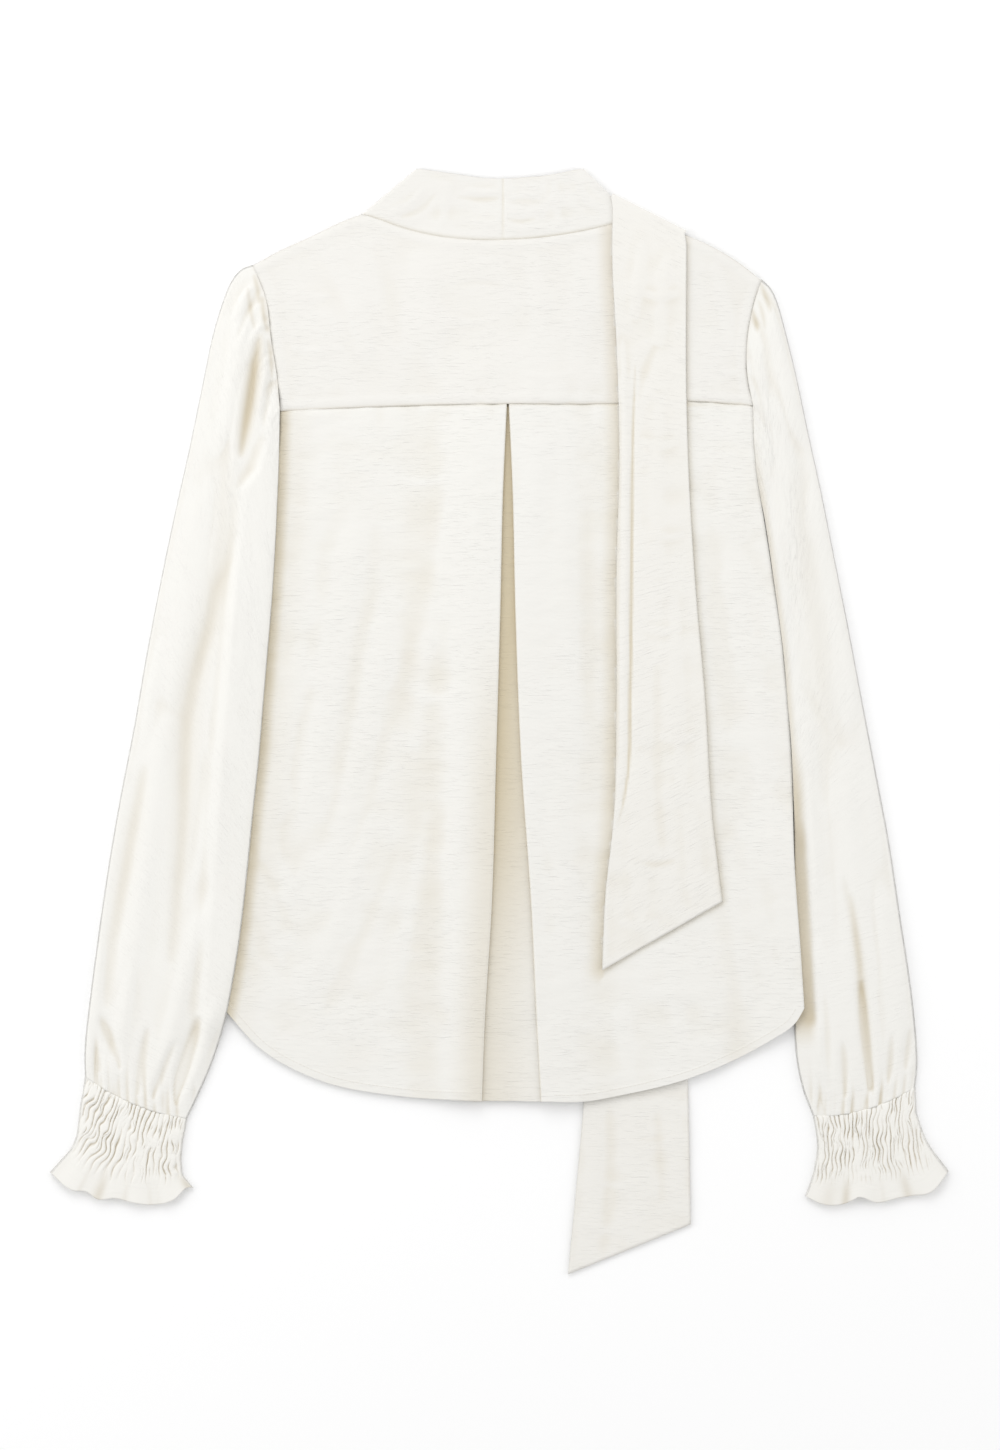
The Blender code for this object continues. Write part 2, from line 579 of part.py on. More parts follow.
def add_collar():
    """The tall collar: one strip across the back of the neck, folded at both sides and
    running down the V of the front as two bands."""
    across = np.linspace(0, 1, 5)
    along_back = np.linspace(0.02, 0.98, 21)
    seam = smooth_curve(NECK_SEAM, along_back) + (0, 2 * SEAM_GAP)
    edge = smooth_curve(COLLAR_TOP, along_back)
    back_plan = seam + across[:, None, None] * (edge - seam)
    corner_foot = np.array((NECK_SEAM[0], NECK_SEAM[-1]), float) + (0, 2 * SEAM_GAP)
    corner_top = np.array((COLLAR_TOP[0], COLLAR_TOP[-1]), float)
    inset, rise = fold_arc((WALL + LAYER_GAP) / 2)

    def band(side):
        """A front band from its end at the centre to the fold at the side of the neck."""
        outer = front_edge(side)[::-1]
        outer = outer + np.array((-side * BAND_GAP[0], BAND_GAP[1]))
        inner_start = np.array((CENTRE_X + side * 0.4, BAND_INNER_Y))
        inner_end = corner_top[0 if side < 0 else 1]
        t = np.linspace(0, 1, len(outer))[:, None]
        inner = inner_start + (inner_end - inner_start) * t
        return (outer + across[:, None, None] * (inner - outer))[:, :-1]

    def turn(side, order):
        """The half turn at the side of the neck."""
        k = 0 if side < 0 else 1
        foot, top = corner_foot[k], corner_top[k]
        line = foot + across[:, None] * (top - foot)
        run = (top - foot) / np.hypot(*(top - foot))
        inward = np.array((-run[1], run[0])) * side
        columns = []
        for out, up in zip(inset, rise):
            plan = line + inward * (WALL / 2 + out)
            height = back_rest(line[:, 0], line[:, 1]) - LAYER_GAP / 2 + up
            columns.append(np.stack([plan[:, 0], plan[:, 1], height], axis=1))
        return columns[::order]

    def laid(plan, rest):
        return with_height(plan, rest(plan[..., 0], plan[..., 1]) + WALL / 2)

    left_band = laid(band(-1), front_rest)
    right_band = laid(band(1)[:, ::-1], front_rest)
    middle = np.concatenate(
        [
            left_band,
            np.stack(turn(-1, 1), axis=1),
            laid(back_plan, back_rest),
            np.stack(turn(1, -1), axis=1),
            right_band,
        ],
        axis=1,
    )
    add_sheet("collar", middle, WALL, COLLAR_COLOUR)


def add_thrown_tie():
    """The tie end that leaves the centre front, goes over the right shoulder and lies down the back."""
    columns = np.linspace(0, 1, 7)
    fold = np.array((TIE_FOLD_LEFT, TIE_FOLD_RIGHT))
    fold_line = fold[0] + columns[:, None] * (fold[1] - fold[0])
    run = np.array(TIE_RUN)
    under = [fold_line - run * d for d in np.linspace(TIE_RUN_LENGTH, 8, 8)]
    under = [np.column_stack([row, np.full(len(row), TIE_WALL / 2)]) for row in under]
    along = np.linspace(0.02, 1, 24)
    ends = tie_rows(TIE_OVER_LEFT, TIE_OVER_RIGHT, along)
    plan = ends[:, :1] + columns[:, None] * (ends[:, 1:] - ends[:, :1])
    laid = with_height(plan, over_back(plan[..., 0], plan[..., 1]) + TIE_WALL / 2)
    top = over_back(fold_line[:, 0], fold_line[:, 1]) + TIE_WALL / 2
    radius = (top - TIE_WALL / 2) / 2
    run_of_fold = (fold[1] - fold[0]) / np.hypot(*(fold[1] - fold[0]))
    inward = np.array((run_of_fold[1], -run_of_fold[0]))
    turn = []
    for angle in np.radians((-90, -60, -20, 20, 60, 90)):
        out = TIE_WALL / 2 + radius * (1 - np.cos(angle))
        height = TIE_WALL / 2 + radius * (1 + np.sin(angle))
        turn.append(np.column_stack([fold_line + inward * out[:, None], height]))
    middle = np.concatenate([np.stack(under), np.stack(turn), laid])
    add_sheet("tie_over_shoulder", middle, TIE_WALL, TIE_COLOUR)


def over_back(x, y):
    """The height of the underside of what lies on the back."""
    return outer_back_rest(x, y) + WALL + TIE_REST_GAP


def add_hanging_tie():
    """The tie end that passes under the right front and comes out below the hem."""
    columns = np.linspace(0, 1, 6)
    ends = tie_rows(TIE_HANGING_LEFT, TIE_HANGING_RIGHT, np.linspace(0, 1, 22))
    plan = ends[:, :1] + columns[:, None] * (ends[:, 1:] - ends[:, :1])
    height = np.full(plan.shape[:2], TIE_WALL / 2)
    add_sheet("tie_hanging", with_height(plan, height), TIE_WALL, TIE_COLOUR)


def add_buttons():
    """Plain round buttons with a raised rim, face down in a row at the centre front."""
    profile = (
        (0, 0.4), (4.2, 0.0), (BUTTON_RADIUS, 0.6),
        (BUTTON_RADIUS, 1.4), (4.9, BUTTON_THICKNESS), (0, BUTTON_THICKNESS),
    )
    sides = 14
    angles = np.linspace(0, 2 * np.pi, sides, endpoint=False)
    for number in range(BUTTON_COUNT):
        y = BUTTON_TOP_Y - BUTTON_PITCH * number
        centres = [(CENTRE_X, y, profile[0][1]), (CENTRE_X, y, profile[-1][1])]
        rings = [
            np.column_stack([CENTRE_X + r * np.cos(angles), y + r * np.sin(angles), np.full(sides, z)])
            for r, z in profile[1:-1]
        ]
        points = np.concatenate([np.array(centres), *rings])
        faces = grid_faces(len(rings), sides, 2, True)
        last = 2 + (len(rings) - 1) * sides
        for k in range(sides):
            beside = (k + 1) % sides
            faces.append((0, 2 + beside, 2 + k))
            faces.append((1, last + k, last + beside))
        add_object(f"button_{number + 1}", points, faces, BUTTON_COLOUR, 0.35)


def tube_rings(plan_at, lengths, upper, lower, rest, plain_top, relief):
    """The outer and inner rings of a flattened tube: over its top, and back along its underside.

    plan_at(fractions) gives the plan point at those fractions of each ring, and rest,
    plain_top and relief the heights there. Both edges are rounded.
    """
    shape = (len(lengths), 1)
    wall_share = WALL / lengths[:, None]
    edge_share = 1.2 * wall_share
    top_at = edge_share + (1 - 2 * edge_share) * upper[None]
    low_at = edge_share + (1 - 2 * edge_share) * lower[None]
    zero = np.zeros(shape)
    outer_at = np.concatenate([zero, top_at, zero + 1, low_at], axis=1)
    shrink = np.clip(1 - wall_share * 2, 0.5, 1)
    inner_at = 0.5 + (outer_at - 0.5) * shrink
    outer_plan = plan_at(outer_at)
    inner_plan = plan_at(inner_at)
    is_top = np.concatenate([[False], np.ones(len(upper), bool), [False], np.zeros(len(lower), bool)])
    is_edge = np.zeros(len(is_top), bool)
    is_edge[[0, len(upper) + 1]] = True
    ground = rest(outer_at, outer_plan)
    top = plain_top(outer_at, outer_plan)
    raised = relief(outer_at, outer_plan)
    edge_height = WALL + SEAM_GAP / 2
    outer_z = np.where(is_edge, ground + edge_height, np.where(is_top, top + raised, ground))
    ground_in = rest(inner_at, inner_plan)
    top_in = plain_top(inner_at, inner_plan)
    inner_z = np.where(is_top, top_in - WALL, ground_in + WALL)
    inner_z = np.where(is_edge, ground_in + edge_height, inner_z)
    return with_height(outer_plan, outer_z), with_height(inner_plan, inner_z)


def line_between(outer_end, inner_end, sag):
    """Plan points across each ring: a straight line between its ends that sags towards the cuff."""

    def plan_at(fractions):
        t = fractions[..., None]
        points = outer_end[:, None] + (inner_end - outer_end)[:, None] * t
        return points - np.array((0, 4)) * sag[:, None, None] * t * (1 - t)

    return plan_at


def add_sleeve(name, side, table, armhole, folds):
    """A puff sleeve laid flat: gathered into the armhole, full along its length, gathered into the cuff."""
    value = sections(table, SLEEVE_COLUMNS, 22)
    outer_end = np.column_stack([value["outer_x"], value["outer_y"]])
    inner_end = np.column_stack([value["inner_x"], value["inner_y"]])
    straight = line_between(outer_end, inner_end, value["sag"])
    curve = joined_curve(armhole, (20,) * len(armhole))
    fine = np.linspace(0, 1, len(curve))
    chord = curve[0] + fine[:, None] * (curve[-1] - curve[0])
    bow = curve - chord

    def plan_at(fractions):
        shift = np.stack([np.interp(fractions, fine, bow[:, k]) for k in (0, 1)], axis=-1)
        return straight(fractions) + shift * value["bow"][:, None, None]

    lengths = np.hypot(*(inner_end - outer_end).T)

    def rest(fractions, plan):
        """Flat on the surface, but the left sleeve's inner side rests on the body."""
        if side > 0:
            return np.zeros(fractions.shape)
        line = np.array(ARMHOLE_LEFT_BACK + SIDE_LEFT[1:], float)
        edge_x = np.interp(-plan[..., 1], -line[:, 1], line[:, 0])
        over_side = fade(edge_x - plan[..., 0], 5, 16)
        below_arm = 1 - fade(-plan[..., 1], -238, -214)
        above_hem = fade(-plan[..., 1], 206, 232)
        return (2 * WALL + LAYER_GAP + TIE_REST_GAP) * over_side * below_arm * above_hem

    def plain_top(fractions, plan):
        """The puff: it rises quickly from both edges, and stays thin where it is tucked away."""
        across = np.sqrt(np.clip(4 * fractions * (1 - fractions), 0, 1))
        hollow = SEAM_GAP + value["hollow"][:, None] * across
        if side > 0:
            line = np.array(SIDE_RIGHT + ((215, -240),), float)
            edge_x = np.interp(-plan[..., 1], -line[:, 1], line[:, 0])
            tucked = fade(plan[..., 0] - edge_x, 6, 14)
            tucked = tucked * (1 - fade(-plan[..., 1], 50, 90)) * fade(-plan[..., 1], 206, 226)
            hollow = hollow * (1 - tucked) + SEAM_GAP * tucked
        return rest(fractions, plan) + 2 * WALL + hollow

    def relief(fractions, plan):
        """Soft folds along the sleeve, none at its edges or where it is tucked away."""
        height = fold_relief(plan[..., 0], plan[..., 1], folds)
        room = plain_top(fractions, plan) - rest(fractions, plan) - 2 * WALL - SEAM_GAP
        return height * np.clip(room / 1.5, 0, 1)

    upper = np.linspace(0, 1, 18)
    lower = np.array((1, 0.94, 0.86, 0.78, 0.68, 0.5, 0.34, 0.17, 0))
    outer, inner = tube_rings(plan_at, lengths, upper, lower, rest, plain_top, relief)
    add_tube(name, outer, inner, SLEEVE_COLOUR)


def add_cuff(name, table):
    """A smocked cuff: raised lozenges around it, and a wavy frill below them."""
    value = sections(table, CUFF_COLUMNS, 12)
    outer_end = np.column_stack([value["outer_x"], value["outer_y"]])
    inner_end = np.column_stack([value["inner_x"], value["inner_y"]])
    plan_at = line_between(outer_end, inner_end, value["sag"])
    lengths = np.hypot(*(inner_end - outer_end).T)
    down = np.concatenate([[0], np.cumsum(np.hypot(*np.diff((outer_end + inner_end) / 2, axis=0).T))])

    def rest(fractions, plan):
        return np.zeros(fractions.shape)

    def plain_top(fractions, plan):
        across = np.sqrt(np.clip(4 * fractions * (1 - fractions), 0, 1))
        return 2 * WALL + SEAM_GAP + value["hollow"][:, None] * across

    def relief(fractions, plan):
        """Lozenges where the ridges of one row stand between those of the next, then frill waves."""
        around = fractions * lengths[:, None] / SMOCKING_PITCH * np.pi
        lozenge = np.abs(np.sin(around + np.pi / 2 * np.sin(down[:, None] / SMOCKING_ROW * 2 * np.pi)))
        waves = 0.5 + 0.5 * np.cos(fractions * FRILL_WAVES * 2 * np.pi + 0.8)
        ends = np.clip(np.minimum(fractions, 1 - fractions) * 20, 0, 1)
        smocking = np.clip(value["smocking"], 0, None)[:, None] * lozenge
        return (smocking + np.clip(value["frill"], 0, None)[:, None] * waves) * ends

    upper = np.linspace(0, 1, 25)
    lower = np.array((1, 0.75, 0.5, 0.25, 0))
    outer, inner = tube_rings(plan_at, lengths, upper, lower, rest, plain_top, relief)
    add_tube(name, outer, inner, CUFF_COLOUR)


# Colours of the ivory cloth and of the buttons
CLOTH_COLOUR = (0.89, 0.875, 0.845)
YOKE_COLOUR = (0.92, 0.885, 0.85)
SLEEVE_COLOUR = (0.91, 0.895, 0.86)
COLLAR_COLOUR = (0.91, 0.9, 0.87)
TIE_COLOUR = (0.88, 0.86, 0.81)
CUFF_COLOUR = (0.9, 0.87, 0.8)
BUTTON_COLOUR = (0.88, 0.86, 0.8)

clear_scene()
add_yoke()
add_back_panel()
add_front("front_left", -1)
add_front("front_right", 1)
add_collar()
add_thrown_tie()
add_hanging_tie()
add_buttons()
add_sleeve("sleeve_left", -1, SLEEVE_LEFT, (ARMHOLE_LEFT_YOKE,), SLEEVE_LEFT_FOLDS)
add_sleeve("sleeve_right", 1, SLEEVE_RIGHT, (ARMHOLE_RIGHT_YOKE, ARMHOLE_RIGHT_BACK), SLEEVE_RIGHT_FOLDS)
add_cuff("cuff_left", CUFF_LEFT)
add_cuff("cuff_right", CUFF_RIGHT)
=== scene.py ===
"""A tie-neck blouse of ivory crinkled satin, laid face down on a white surface, back up.

Lengths are in millimetres and become metres when a mesh is made. X runs across the
garment, +Y towards the collar, +Z up. Left is the wearer's left, at -X.
"""

import bpy
import numpy as np
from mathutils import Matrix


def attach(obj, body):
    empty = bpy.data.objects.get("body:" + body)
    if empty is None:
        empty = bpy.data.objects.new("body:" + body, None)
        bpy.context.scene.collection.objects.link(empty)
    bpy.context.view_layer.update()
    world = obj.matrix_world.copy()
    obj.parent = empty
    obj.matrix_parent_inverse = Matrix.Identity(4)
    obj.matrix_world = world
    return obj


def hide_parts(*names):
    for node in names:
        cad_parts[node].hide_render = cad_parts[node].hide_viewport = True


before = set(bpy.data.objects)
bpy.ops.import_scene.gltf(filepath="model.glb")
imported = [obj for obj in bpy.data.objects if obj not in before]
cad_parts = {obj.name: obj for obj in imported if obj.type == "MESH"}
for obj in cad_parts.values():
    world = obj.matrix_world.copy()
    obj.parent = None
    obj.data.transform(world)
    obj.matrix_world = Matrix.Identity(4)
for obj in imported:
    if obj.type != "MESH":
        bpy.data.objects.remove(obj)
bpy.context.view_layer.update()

# Camera, lights and floor
# The blouse is seen from straight above on a plain white floor, under soft even light that
# comes a little more from the collar's side and from the wearer's left.
PIXEL = 0.0007
FRAME_HEIGHT = 1450 * PIXEL
CAMERA_HEIGHT = 6.0
SENSOR = 36.0
scene = bpy.context.scene
scene.view_settings.view_transform = "Standard"
camera_data = bpy.data.cameras.new("camera")
camera_data.sensor_width = SENSOR
camera_data.lens = SENSOR * CAMERA_HEIGHT / FRAME_HEIGHT
camera = bpy.data.objects.new("camera", camera_data)
camera.location = (0.0005, -0.0025, CAMERA_HEIGHT)
scene.collection.objects.link(camera)
scene.camera = camera

world = bpy.data.worlds.new("soft_room")
world.use_nodes = True
world.node_tree.nodes["Background"].inputs["Color"].default_value = (1, 1, 1, 1)
world.node_tree.nodes["Background"].inputs["Strength"].default_value = 0.79
scene.world = world

LAMPS = (
    ("lamp_collar_side", (-0.55, 1.7, 1.5), (-0.75, -0.28, 0), 1.3, 13),
    ("lamp_left", (-1.9, 0.1, 1.1), (0, -1.05, 0), 1.2, 9),
    ("lamp_right", (1.9, 0.2, 1.1), (0, 1.05, 0), 1.2, 6),
)
for lamp_name, place, turn, size, power in LAMPS:
    lamp_data = bpy.data.lights.new(lamp_name, "AREA")
    lamp_data.size = size
    lamp_data.energy = power
    lamp = bpy.data.objects.new(lamp_name, lamp_data)
    lamp.location = place
    lamp.rotation_euler = turn
    scene.collection.objects.link(lamp)

floor_mesh = bpy.data.meshes.new("floor")
floor_mesh.from_pydata(
    [(-6, -6, -0.0006), (6, -6, -0.0006), (6, 6, -0.0006), (-6, 6, -0.0006)], [], [(0, 1, 2, 3)]
)
floor = bpy.data.objects.new("floor", floor_mesh)
scene.collection.objects.link(floor)
floor_paint = bpy.data.materials.new("white_floor")
floor_paint.use_nodes = True
floor_paint.node_tree.nodes["Principled BSDF"].inputs["Base Color"].default_value = (0.97, 0.97, 0.97, 1)
floor_paint.node_tree.nodes["Principled BSDF"].inputs["Roughness"].default_value = 0.9
floor_mesh.materials.append(floor_paint)

# Hanging tie end
# A doubled strip of the ivory satin, sewn and turned. It leaves the neck at the centre
# front, lies on the surface under the right front and comes out below the hem.
MM = 0.001
WALL = 1.0
CLOTH = 0.7
TIE_WALL = 1.2
HANGING_ROWS = 260
TIE_COLUMNS = 44
SEAM_GAP = 0.3
SEAM_SHOWN = 0.06
LAYER_GAP = 0.5
TIE_REST_GAP = 0.6
FOLD_STEP = WALL + SEAM_GAP
TIE_HANGING_LEFT = (
    (8, 261), (30, 190), (46, 85), (55, -55),
    (60, -180), (59, -267), (55, -314), (48, -387),
)
TIE_HANGING_RIGHT = ((36, 266), (76, 190), (96, 85), (116, -55), (130, -180), (132, -251), (134, -352))
HANGING_CREASES = (
    (6, -0.55, (77, -262), (78, -300), (76, -345), (72, -376)),
    (8, 0.6, (66, -258), (67, -300), (63, -350), (58, -378)),
    (9, 0.5, (92, -262), (96, -300), (95, -350), (92, -368)),
    (5, 0.5, (122, -262), (124, -300), (127, -345)),
    (4, -0.35, (110, -266), (112, -300), (114, -338)),
    (3, 0.35, (70, -322), (84, -325), (100, -323)),
    (3, -0.3, (88, -290), (102, -293), (118, -290)),
    (3, 0.3, (58, -352), (72, -356), (88, -355)),
)


def smooth_between(values, at, where):
    """Smooth values at the places where, through the rows of values given at the places at:
    a cubic in each stretch, whose slopes at its two ends are the mean slopes there."""
    tangents = np.gradient(values, at, axis=0)
    cell = np.clip(np.searchsorted(at, where, side="right") - 1, 0, len(at) - 2)
    width = np.diff(at)[cell][:, None]
    s = (where - at[cell])[:, None] / width
    start = (1 + 2 * s) * (1 - s) ** 2 * values[cell]
    end = s**2 * (3 - 2 * s) * values[cell + 1]
    leave = s * (1 - s) ** 2 * width * tangents[cell]
    arrive = s**2 * (s - 1) * width * tangents[cell + 1]
    return start + end + leave + arrive


def smooth_curve(points, fractions):
    """Points at these fractions of the length of a smooth curve through the given ones."""
    points = np.array(points, float)
    along = np.concatenate([[0], np.cumsum(np.hypot(*np.diff(points, axis=0).T))])
    return smooth_between(points, along, np.asarray(fractions, float) * along[-1])


def fade(distance, full, none):
    """1 up to the distance full and 0 from the distance none on: s squared times 3 - 2 s."""
    s = np.clip((none - distance) / (none - full), 0, 1)
    return s * s * (3 - 2 * s)


def nearest_on(x, y, path):
    """How far each point lies from a line of straight stretches, and the share of the line's
    length at which the nearest place lies."""
    path = np.array(path, float)
    apart = np.full(np.shape(x), np.inf)
    at = np.zeros(np.shape(x))
    passed = 0.0
    for start, end in zip(path[:-1], path[1:]):
        run = end - start
        length = np.hypot(*run)
        along = np.clip(((x - start[0]) * run[0] + (y - start[1]) * run[1]) / length**2, 0, 1)
        here = np.hypot(x - start[0] - along * run[0], y - start[1] - along * run[1])
        at = np.where(here < apart, passed + along * length, at)
        apart = np.minimum(apart, here)
        passed += length
    return apart, at / passed


def creases(x, y, table):
    """Soft ridges and troughs, each given as a half width, a height and the points of its
    line. Across the line it is a bell, exp(-(d / w) ** 2), and along it height and width taper
    as the root of sin(pi s) towards both ends."""
    total = np.zeros(np.shape(x))
    for half_width, height, *line in table:
        path = smooth_curve(line, np.linspace(0, 1, 3 * len(line)))
        apart, share = nearest_on(x, y, path)
        taper = np.sqrt(np.clip(np.sin(np.pi * share), 0, 1))
        total += height * taper * np.exp(-((apart / (half_width * (0.45 + 0.55 * taper))) ** 2))
    return total


def drift(u, v, size_u, size_v, seed):
    """Smooth seeded unevenness between -1 and 1: random values on a grid of cells of size_u by
    size_v, blended between the four corners of each cell with s squared times 3 - 2 s."""
    values = np.random.default_rng(seed).uniform(-1, 1, (97, 97))
    a, b = np.asarray(u, float) / size_u + 400.5, np.asarray(v, float) / size_v + 400.5
    i, j = np.floor(a).astype(int), np.floor(b).astype(int)
    s, t = a - i, b - j
    s, t = s * s * (3 - 2 * s), t * t * (3 - 2 * t)
    i0, i1, j0, j1 = i % 97, (i + 1) % 97, j % 97, (j + 1) % 97
    near = values[i0, j0] * (1 - s) + values[i1, j0] * s
    far = values[i0, j1] * (1 - s) + values[i1, j1] * s
    return near * (1 - t) + far * t


def hollow(height, passes, depth):
    """How deep each grid point lies in a fold, 0 to 1: the height of the cloth around it, which
    is the height averaged with its neighbours so many times, less its own, over depth."""
    around = height
    for _ in range(passes):
        padded = np.pad(around, 1, mode="edge")
        around = (padded[2:, 1:-1] + padded[:-2, 1:-1] + padded[1:-1, 2:] + padded[1:-1, :-2]) / 4
    return np.clip((around - height) / depth, 0, 1)


def cloth_normals(middle):
    """The direction that each point of a sheet faces: the cross product of the mean runs to its
    neighbours across and down."""

    def mean_run(points):
        runs = np.diff(points, axis=0)
        runs /= np.maximum(np.linalg.norm(runs, axis=2, keepdims=True), 1e-9)
        padded = np.concatenate([runs[:1], runs, runs[-1:]])
        return padded[:-1] + padded[1:]

    down = mean_run(middle)
    across = mean_run(middle.swapaxes(0, 1)).swapaxes(0, 1)
    normals = np.cross(across, down)
    return normals / np.maximum(np.linalg.norm(normals, axis=2, keepdims=True), 1e-9)


def grid_quads(rows, columns, around=False):
    """The four corners of each face of a grid of points, closed in a ring if it goes around."""
    row = np.arange(rows - 1)[:, None] * columns
    column = np.arange(columns if around else columns - 1)[None]
    beside = (column + 1) % columns
    return np.stack(
        [row + column, row + beside, row + columns + beside, row + columns + column], axis=-1
    ).reshape(-1, 4)


def add_cloth(name, points, quads, flat, fold, material):
    """One closed cloth mesh: points in millimetres, its flat place as the UV map cloth, and its
    painted shade, how far its colour is darkened and warmed in folds, seams and beside what lies
    on it, as the attribute fold. Its faces are turned round if the volume that they close comes
    out negative."""
    a, b, c, d = (points[quads[:, k]] for k in range(4))
    volume = np.sum(a * np.cross(b, c)) + np.sum(a * np.cross(c, d))
    if volume < 0:
        quads = quads[:, ::-1]
    mesh = bpy.data.meshes.new(name)
    mesh.vertices.add(len(points))
    mesh.vertices.foreach_set("co", (points * MM).astype(np.float32).ravel())
    mesh.loops.add(quads.size)
    mesh.loops.foreach_set("vertex_index", quads.astype(np.int32).ravel())
    mesh.polygons.add(len(quads))
    mesh.polygons.foreach_set("loop_start", np.arange(0, quads.size, 4, dtype=np.int32))
    mesh.update(calc_edges=True)
    mesh.shade_smooth()
    layer = mesh.uv_layers.new(name="cloth")
    layer.data.foreach_set("uv", (flat * MM)[quads.ravel()].astype(np.float32).ravel())
    # The attribute fold is painted shade: how far the colour is darkened and warmed.
    attribute = mesh.attributes.new("fold", "FLOAT", "POINT")
    attribute.data.foreach_set("value", fold.astype(np.float32).ravel())
    mesh.materials.append(material)
    obj = bpy.data.objects.new(name, mesh)
    scene.collection.objects.link(obj)
    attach(obj, "root")
    return obj


def add_sheet(name, middle, thickness, flat, fold, material):
    """A closed thin sheet: the grid of its middle surface moved half its thickness each way
    along its normals, and a rim that joins the two."""
    rows, columns = middle.shape[:2]
    offset = cloth_normals(middle) * np.broadcast_to(thickness, (rows, columns))[..., None] / 2
    points = np.concatenate([(middle + offset).reshape(-1, 3), (middle - offset).reshape(-1, 3)])
    count = rows * columns
    upper = grid_quads(rows, columns)
    loop = np.concatenate([
        np.arange(columns), np.arange(1, rows) * columns + columns - 1,
        (rows - 1) * columns + np.arange(columns - 2, -1, -1), np.arange(rows - 2, 0, -1) * columns,
    ])
    beside = np.roll(loop, -1)
    rim = np.stack([beside, loop, loop + count, beside + count], axis=1)
    quads = np.concatenate([upper, upper[:, ::-1] + count, rim])
    flat = np.tile(flat.reshape(-1, 2), (2, 1))
    fold = np.tile(np.broadcast_to(fold, (rows, columns)).ravel(), 2)
    return add_cloth(name, points, quads, flat, fold, material)


def with_height(plan, height):
    return np.concatenate([plan, height[..., None]], axis=2)


def tie_rows(left, right, fractions):
    """The rows of a tie end: both ends of each row, spread evenly down its two edges."""
    return np.stack([smooth_curve(left, fractions), smooth_curve(right, fractions)], axis=1)


def add_node(tree, kind, x, y, **values):
    """A shader node of this kind at a place on the sheet, with its named properties set."""
    node = tree.nodes.new(kind)
    node.location = (x, y)
    for key, value in values.items():
        setattr(node, key, value)
    return node


def make_cloth_group():
    """The look of the crinkled satin, for every cloth piece: painted shade, a colour that darkens and
    warms towards the shade colour as far as the attribute fold says, and a height in millimetres
    made of long flat slubs, short crinkles and grain."""
    group = bpy.data.node_groups.new("crinkled_satin", "ShaderNodeTree")
    face = group.interface
    for socket_name, kind, value in (
        ("Cloth", "NodeSocketColor", (0.84, 0.83, 0.8, 1)),
        ("Painted shade", "NodeSocketColor", (0.7, 0.6, 0.4, 1)),
        ("Slubs", "NodeSocketFloat", 0.3),
        ("Crinkles", "NodeSocketFloat", 0.5),
    ):
        face.new_socket(name=socket_name, in_out="INPUT", socket_type=kind).default_value = value
    face.new_socket(name="Colour", in_out="OUTPUT", socket_type="NodeSocketColor")
    face.new_socket(name="Height", in_out="OUTPUT", socket_type="NodeSocketFloat")
    face.new_socket(name="Roughness", in_out="OUTPUT", socket_type="NodeSocketFloat")
    tree, link = group, group.links.new
    given = add_node(tree, "NodeGroupInput", -1200, 0)
    put = add_node(tree, "NodeGroupOutput", 900, 0)
    flat = add_node(tree, "ShaderNodeUVMap", -1200, 300, uv_map="cloth")

    def noise(scale, detail, x, y):
        """Noise on the flat cloth, with its own scale across and down."""
        size = add_node(tree, "ShaderNodeVectorMath", x, y, operation="MULTIPLY")
        size.inputs[1].default_value = (*scale, 1)
        link(flat.outputs["UV"], size.inputs[0])
        made = add_node(tree, "ShaderNodeTexNoise", x + 200, y, noise_dimensions="2D")
        made.inputs["Scale"].default_value = 1
        made.inputs["Detail"].default_value = detail
        link(size.outputs[0], made.inputs["Vector"])
        return made.outputs["Fac"]

    def ramp(source, low, high, x, y):
        """0 at low, 1 at high, smooth between them."""
        made = add_node(tree, "ShaderNodeMapRange", x, y, interpolation_type="SMOOTHSTEP")
        made.inputs["From Min"].default_value = low
        made.inputs["From Max"].default_value = high
        link(source, made.inputs["Value"])
        return made.outputs["Result"]

    def math(operation, first, second, x, y):
        made = add_node(tree, "ShaderNodeMath", x, y, operation=operation)
        for socket, value in zip(made.inputs, (first, second)):
            if isinstance(value, (int, float)):
                socket.default_value = value
            else:
                link(value, socket)
        return made.outputs[0]

    raised = ramp(noise((75, 560), 2, -950, 500), 0.53, 0.72, -500, 500)
    sunk = ramp(noise((95, 700), 2, -950, 250), 0.55, 0.74, -500, 250)
    patches = ramp(noise((14, 20), 2, -950, 0), 0.18, 0.62, -500, 0)
    slubs = math("SUBTRACT", raised, sunk, -300, 400)
    slubs = math("MULTIPLY", slubs, patches, -150, 350)
    slubs = math("MULTIPLY", slubs, given.outputs["Slubs"], 0, 300)
    crinkles = math("MULTIPLY", noise((42, 90), 3, -950, -250), given.outputs["Crinkles"], -300, -200)
    grain = math("MULTIPLY", noise((1500, 1100), 1, -950, -500), 0.03, -300, -450)
    height = math("ADD", slubs, crinkles, 150, 100)
    height = math("ADD", height, grain, 300, 0)
    link(height, put.inputs["Height"])

    # Painted shade: the attribute fold, with a little noise, mixes the cloth colour towards the shade colour.
    depth = add_node(tree, "ShaderNodeAttribute", -1200, -700, attribute_name="fold")
    uneven = math("MULTIPLY", noise((14, 9), 3, -950, -750), 0.06, -300, -700)
    share = math("ADD", depth.outputs["Fac"], uneven, -100, -650)
    painted_shade_mix = add_node(tree, "ShaderNodeMix", 300, -300, data_type="RGBA")
    link(share, painted_shade_mix.inputs["Factor"])
    link(given.outputs["Cloth"], painted_shade_mix.inputs["A"])
    link(given.outputs["Painted shade"], painted_shade_mix.inputs["B"])
    link(painted_shade_mix.outputs["Result"], put.inputs["Colour"])
    satin = math("MULTIPLY", raised, -0.08, 0, -500)
    link(math("ADD", satin, 0.6, 200, -500), put.inputs["Roughness"])
    return group


CLOTH_GROUP = make_cloth_group()


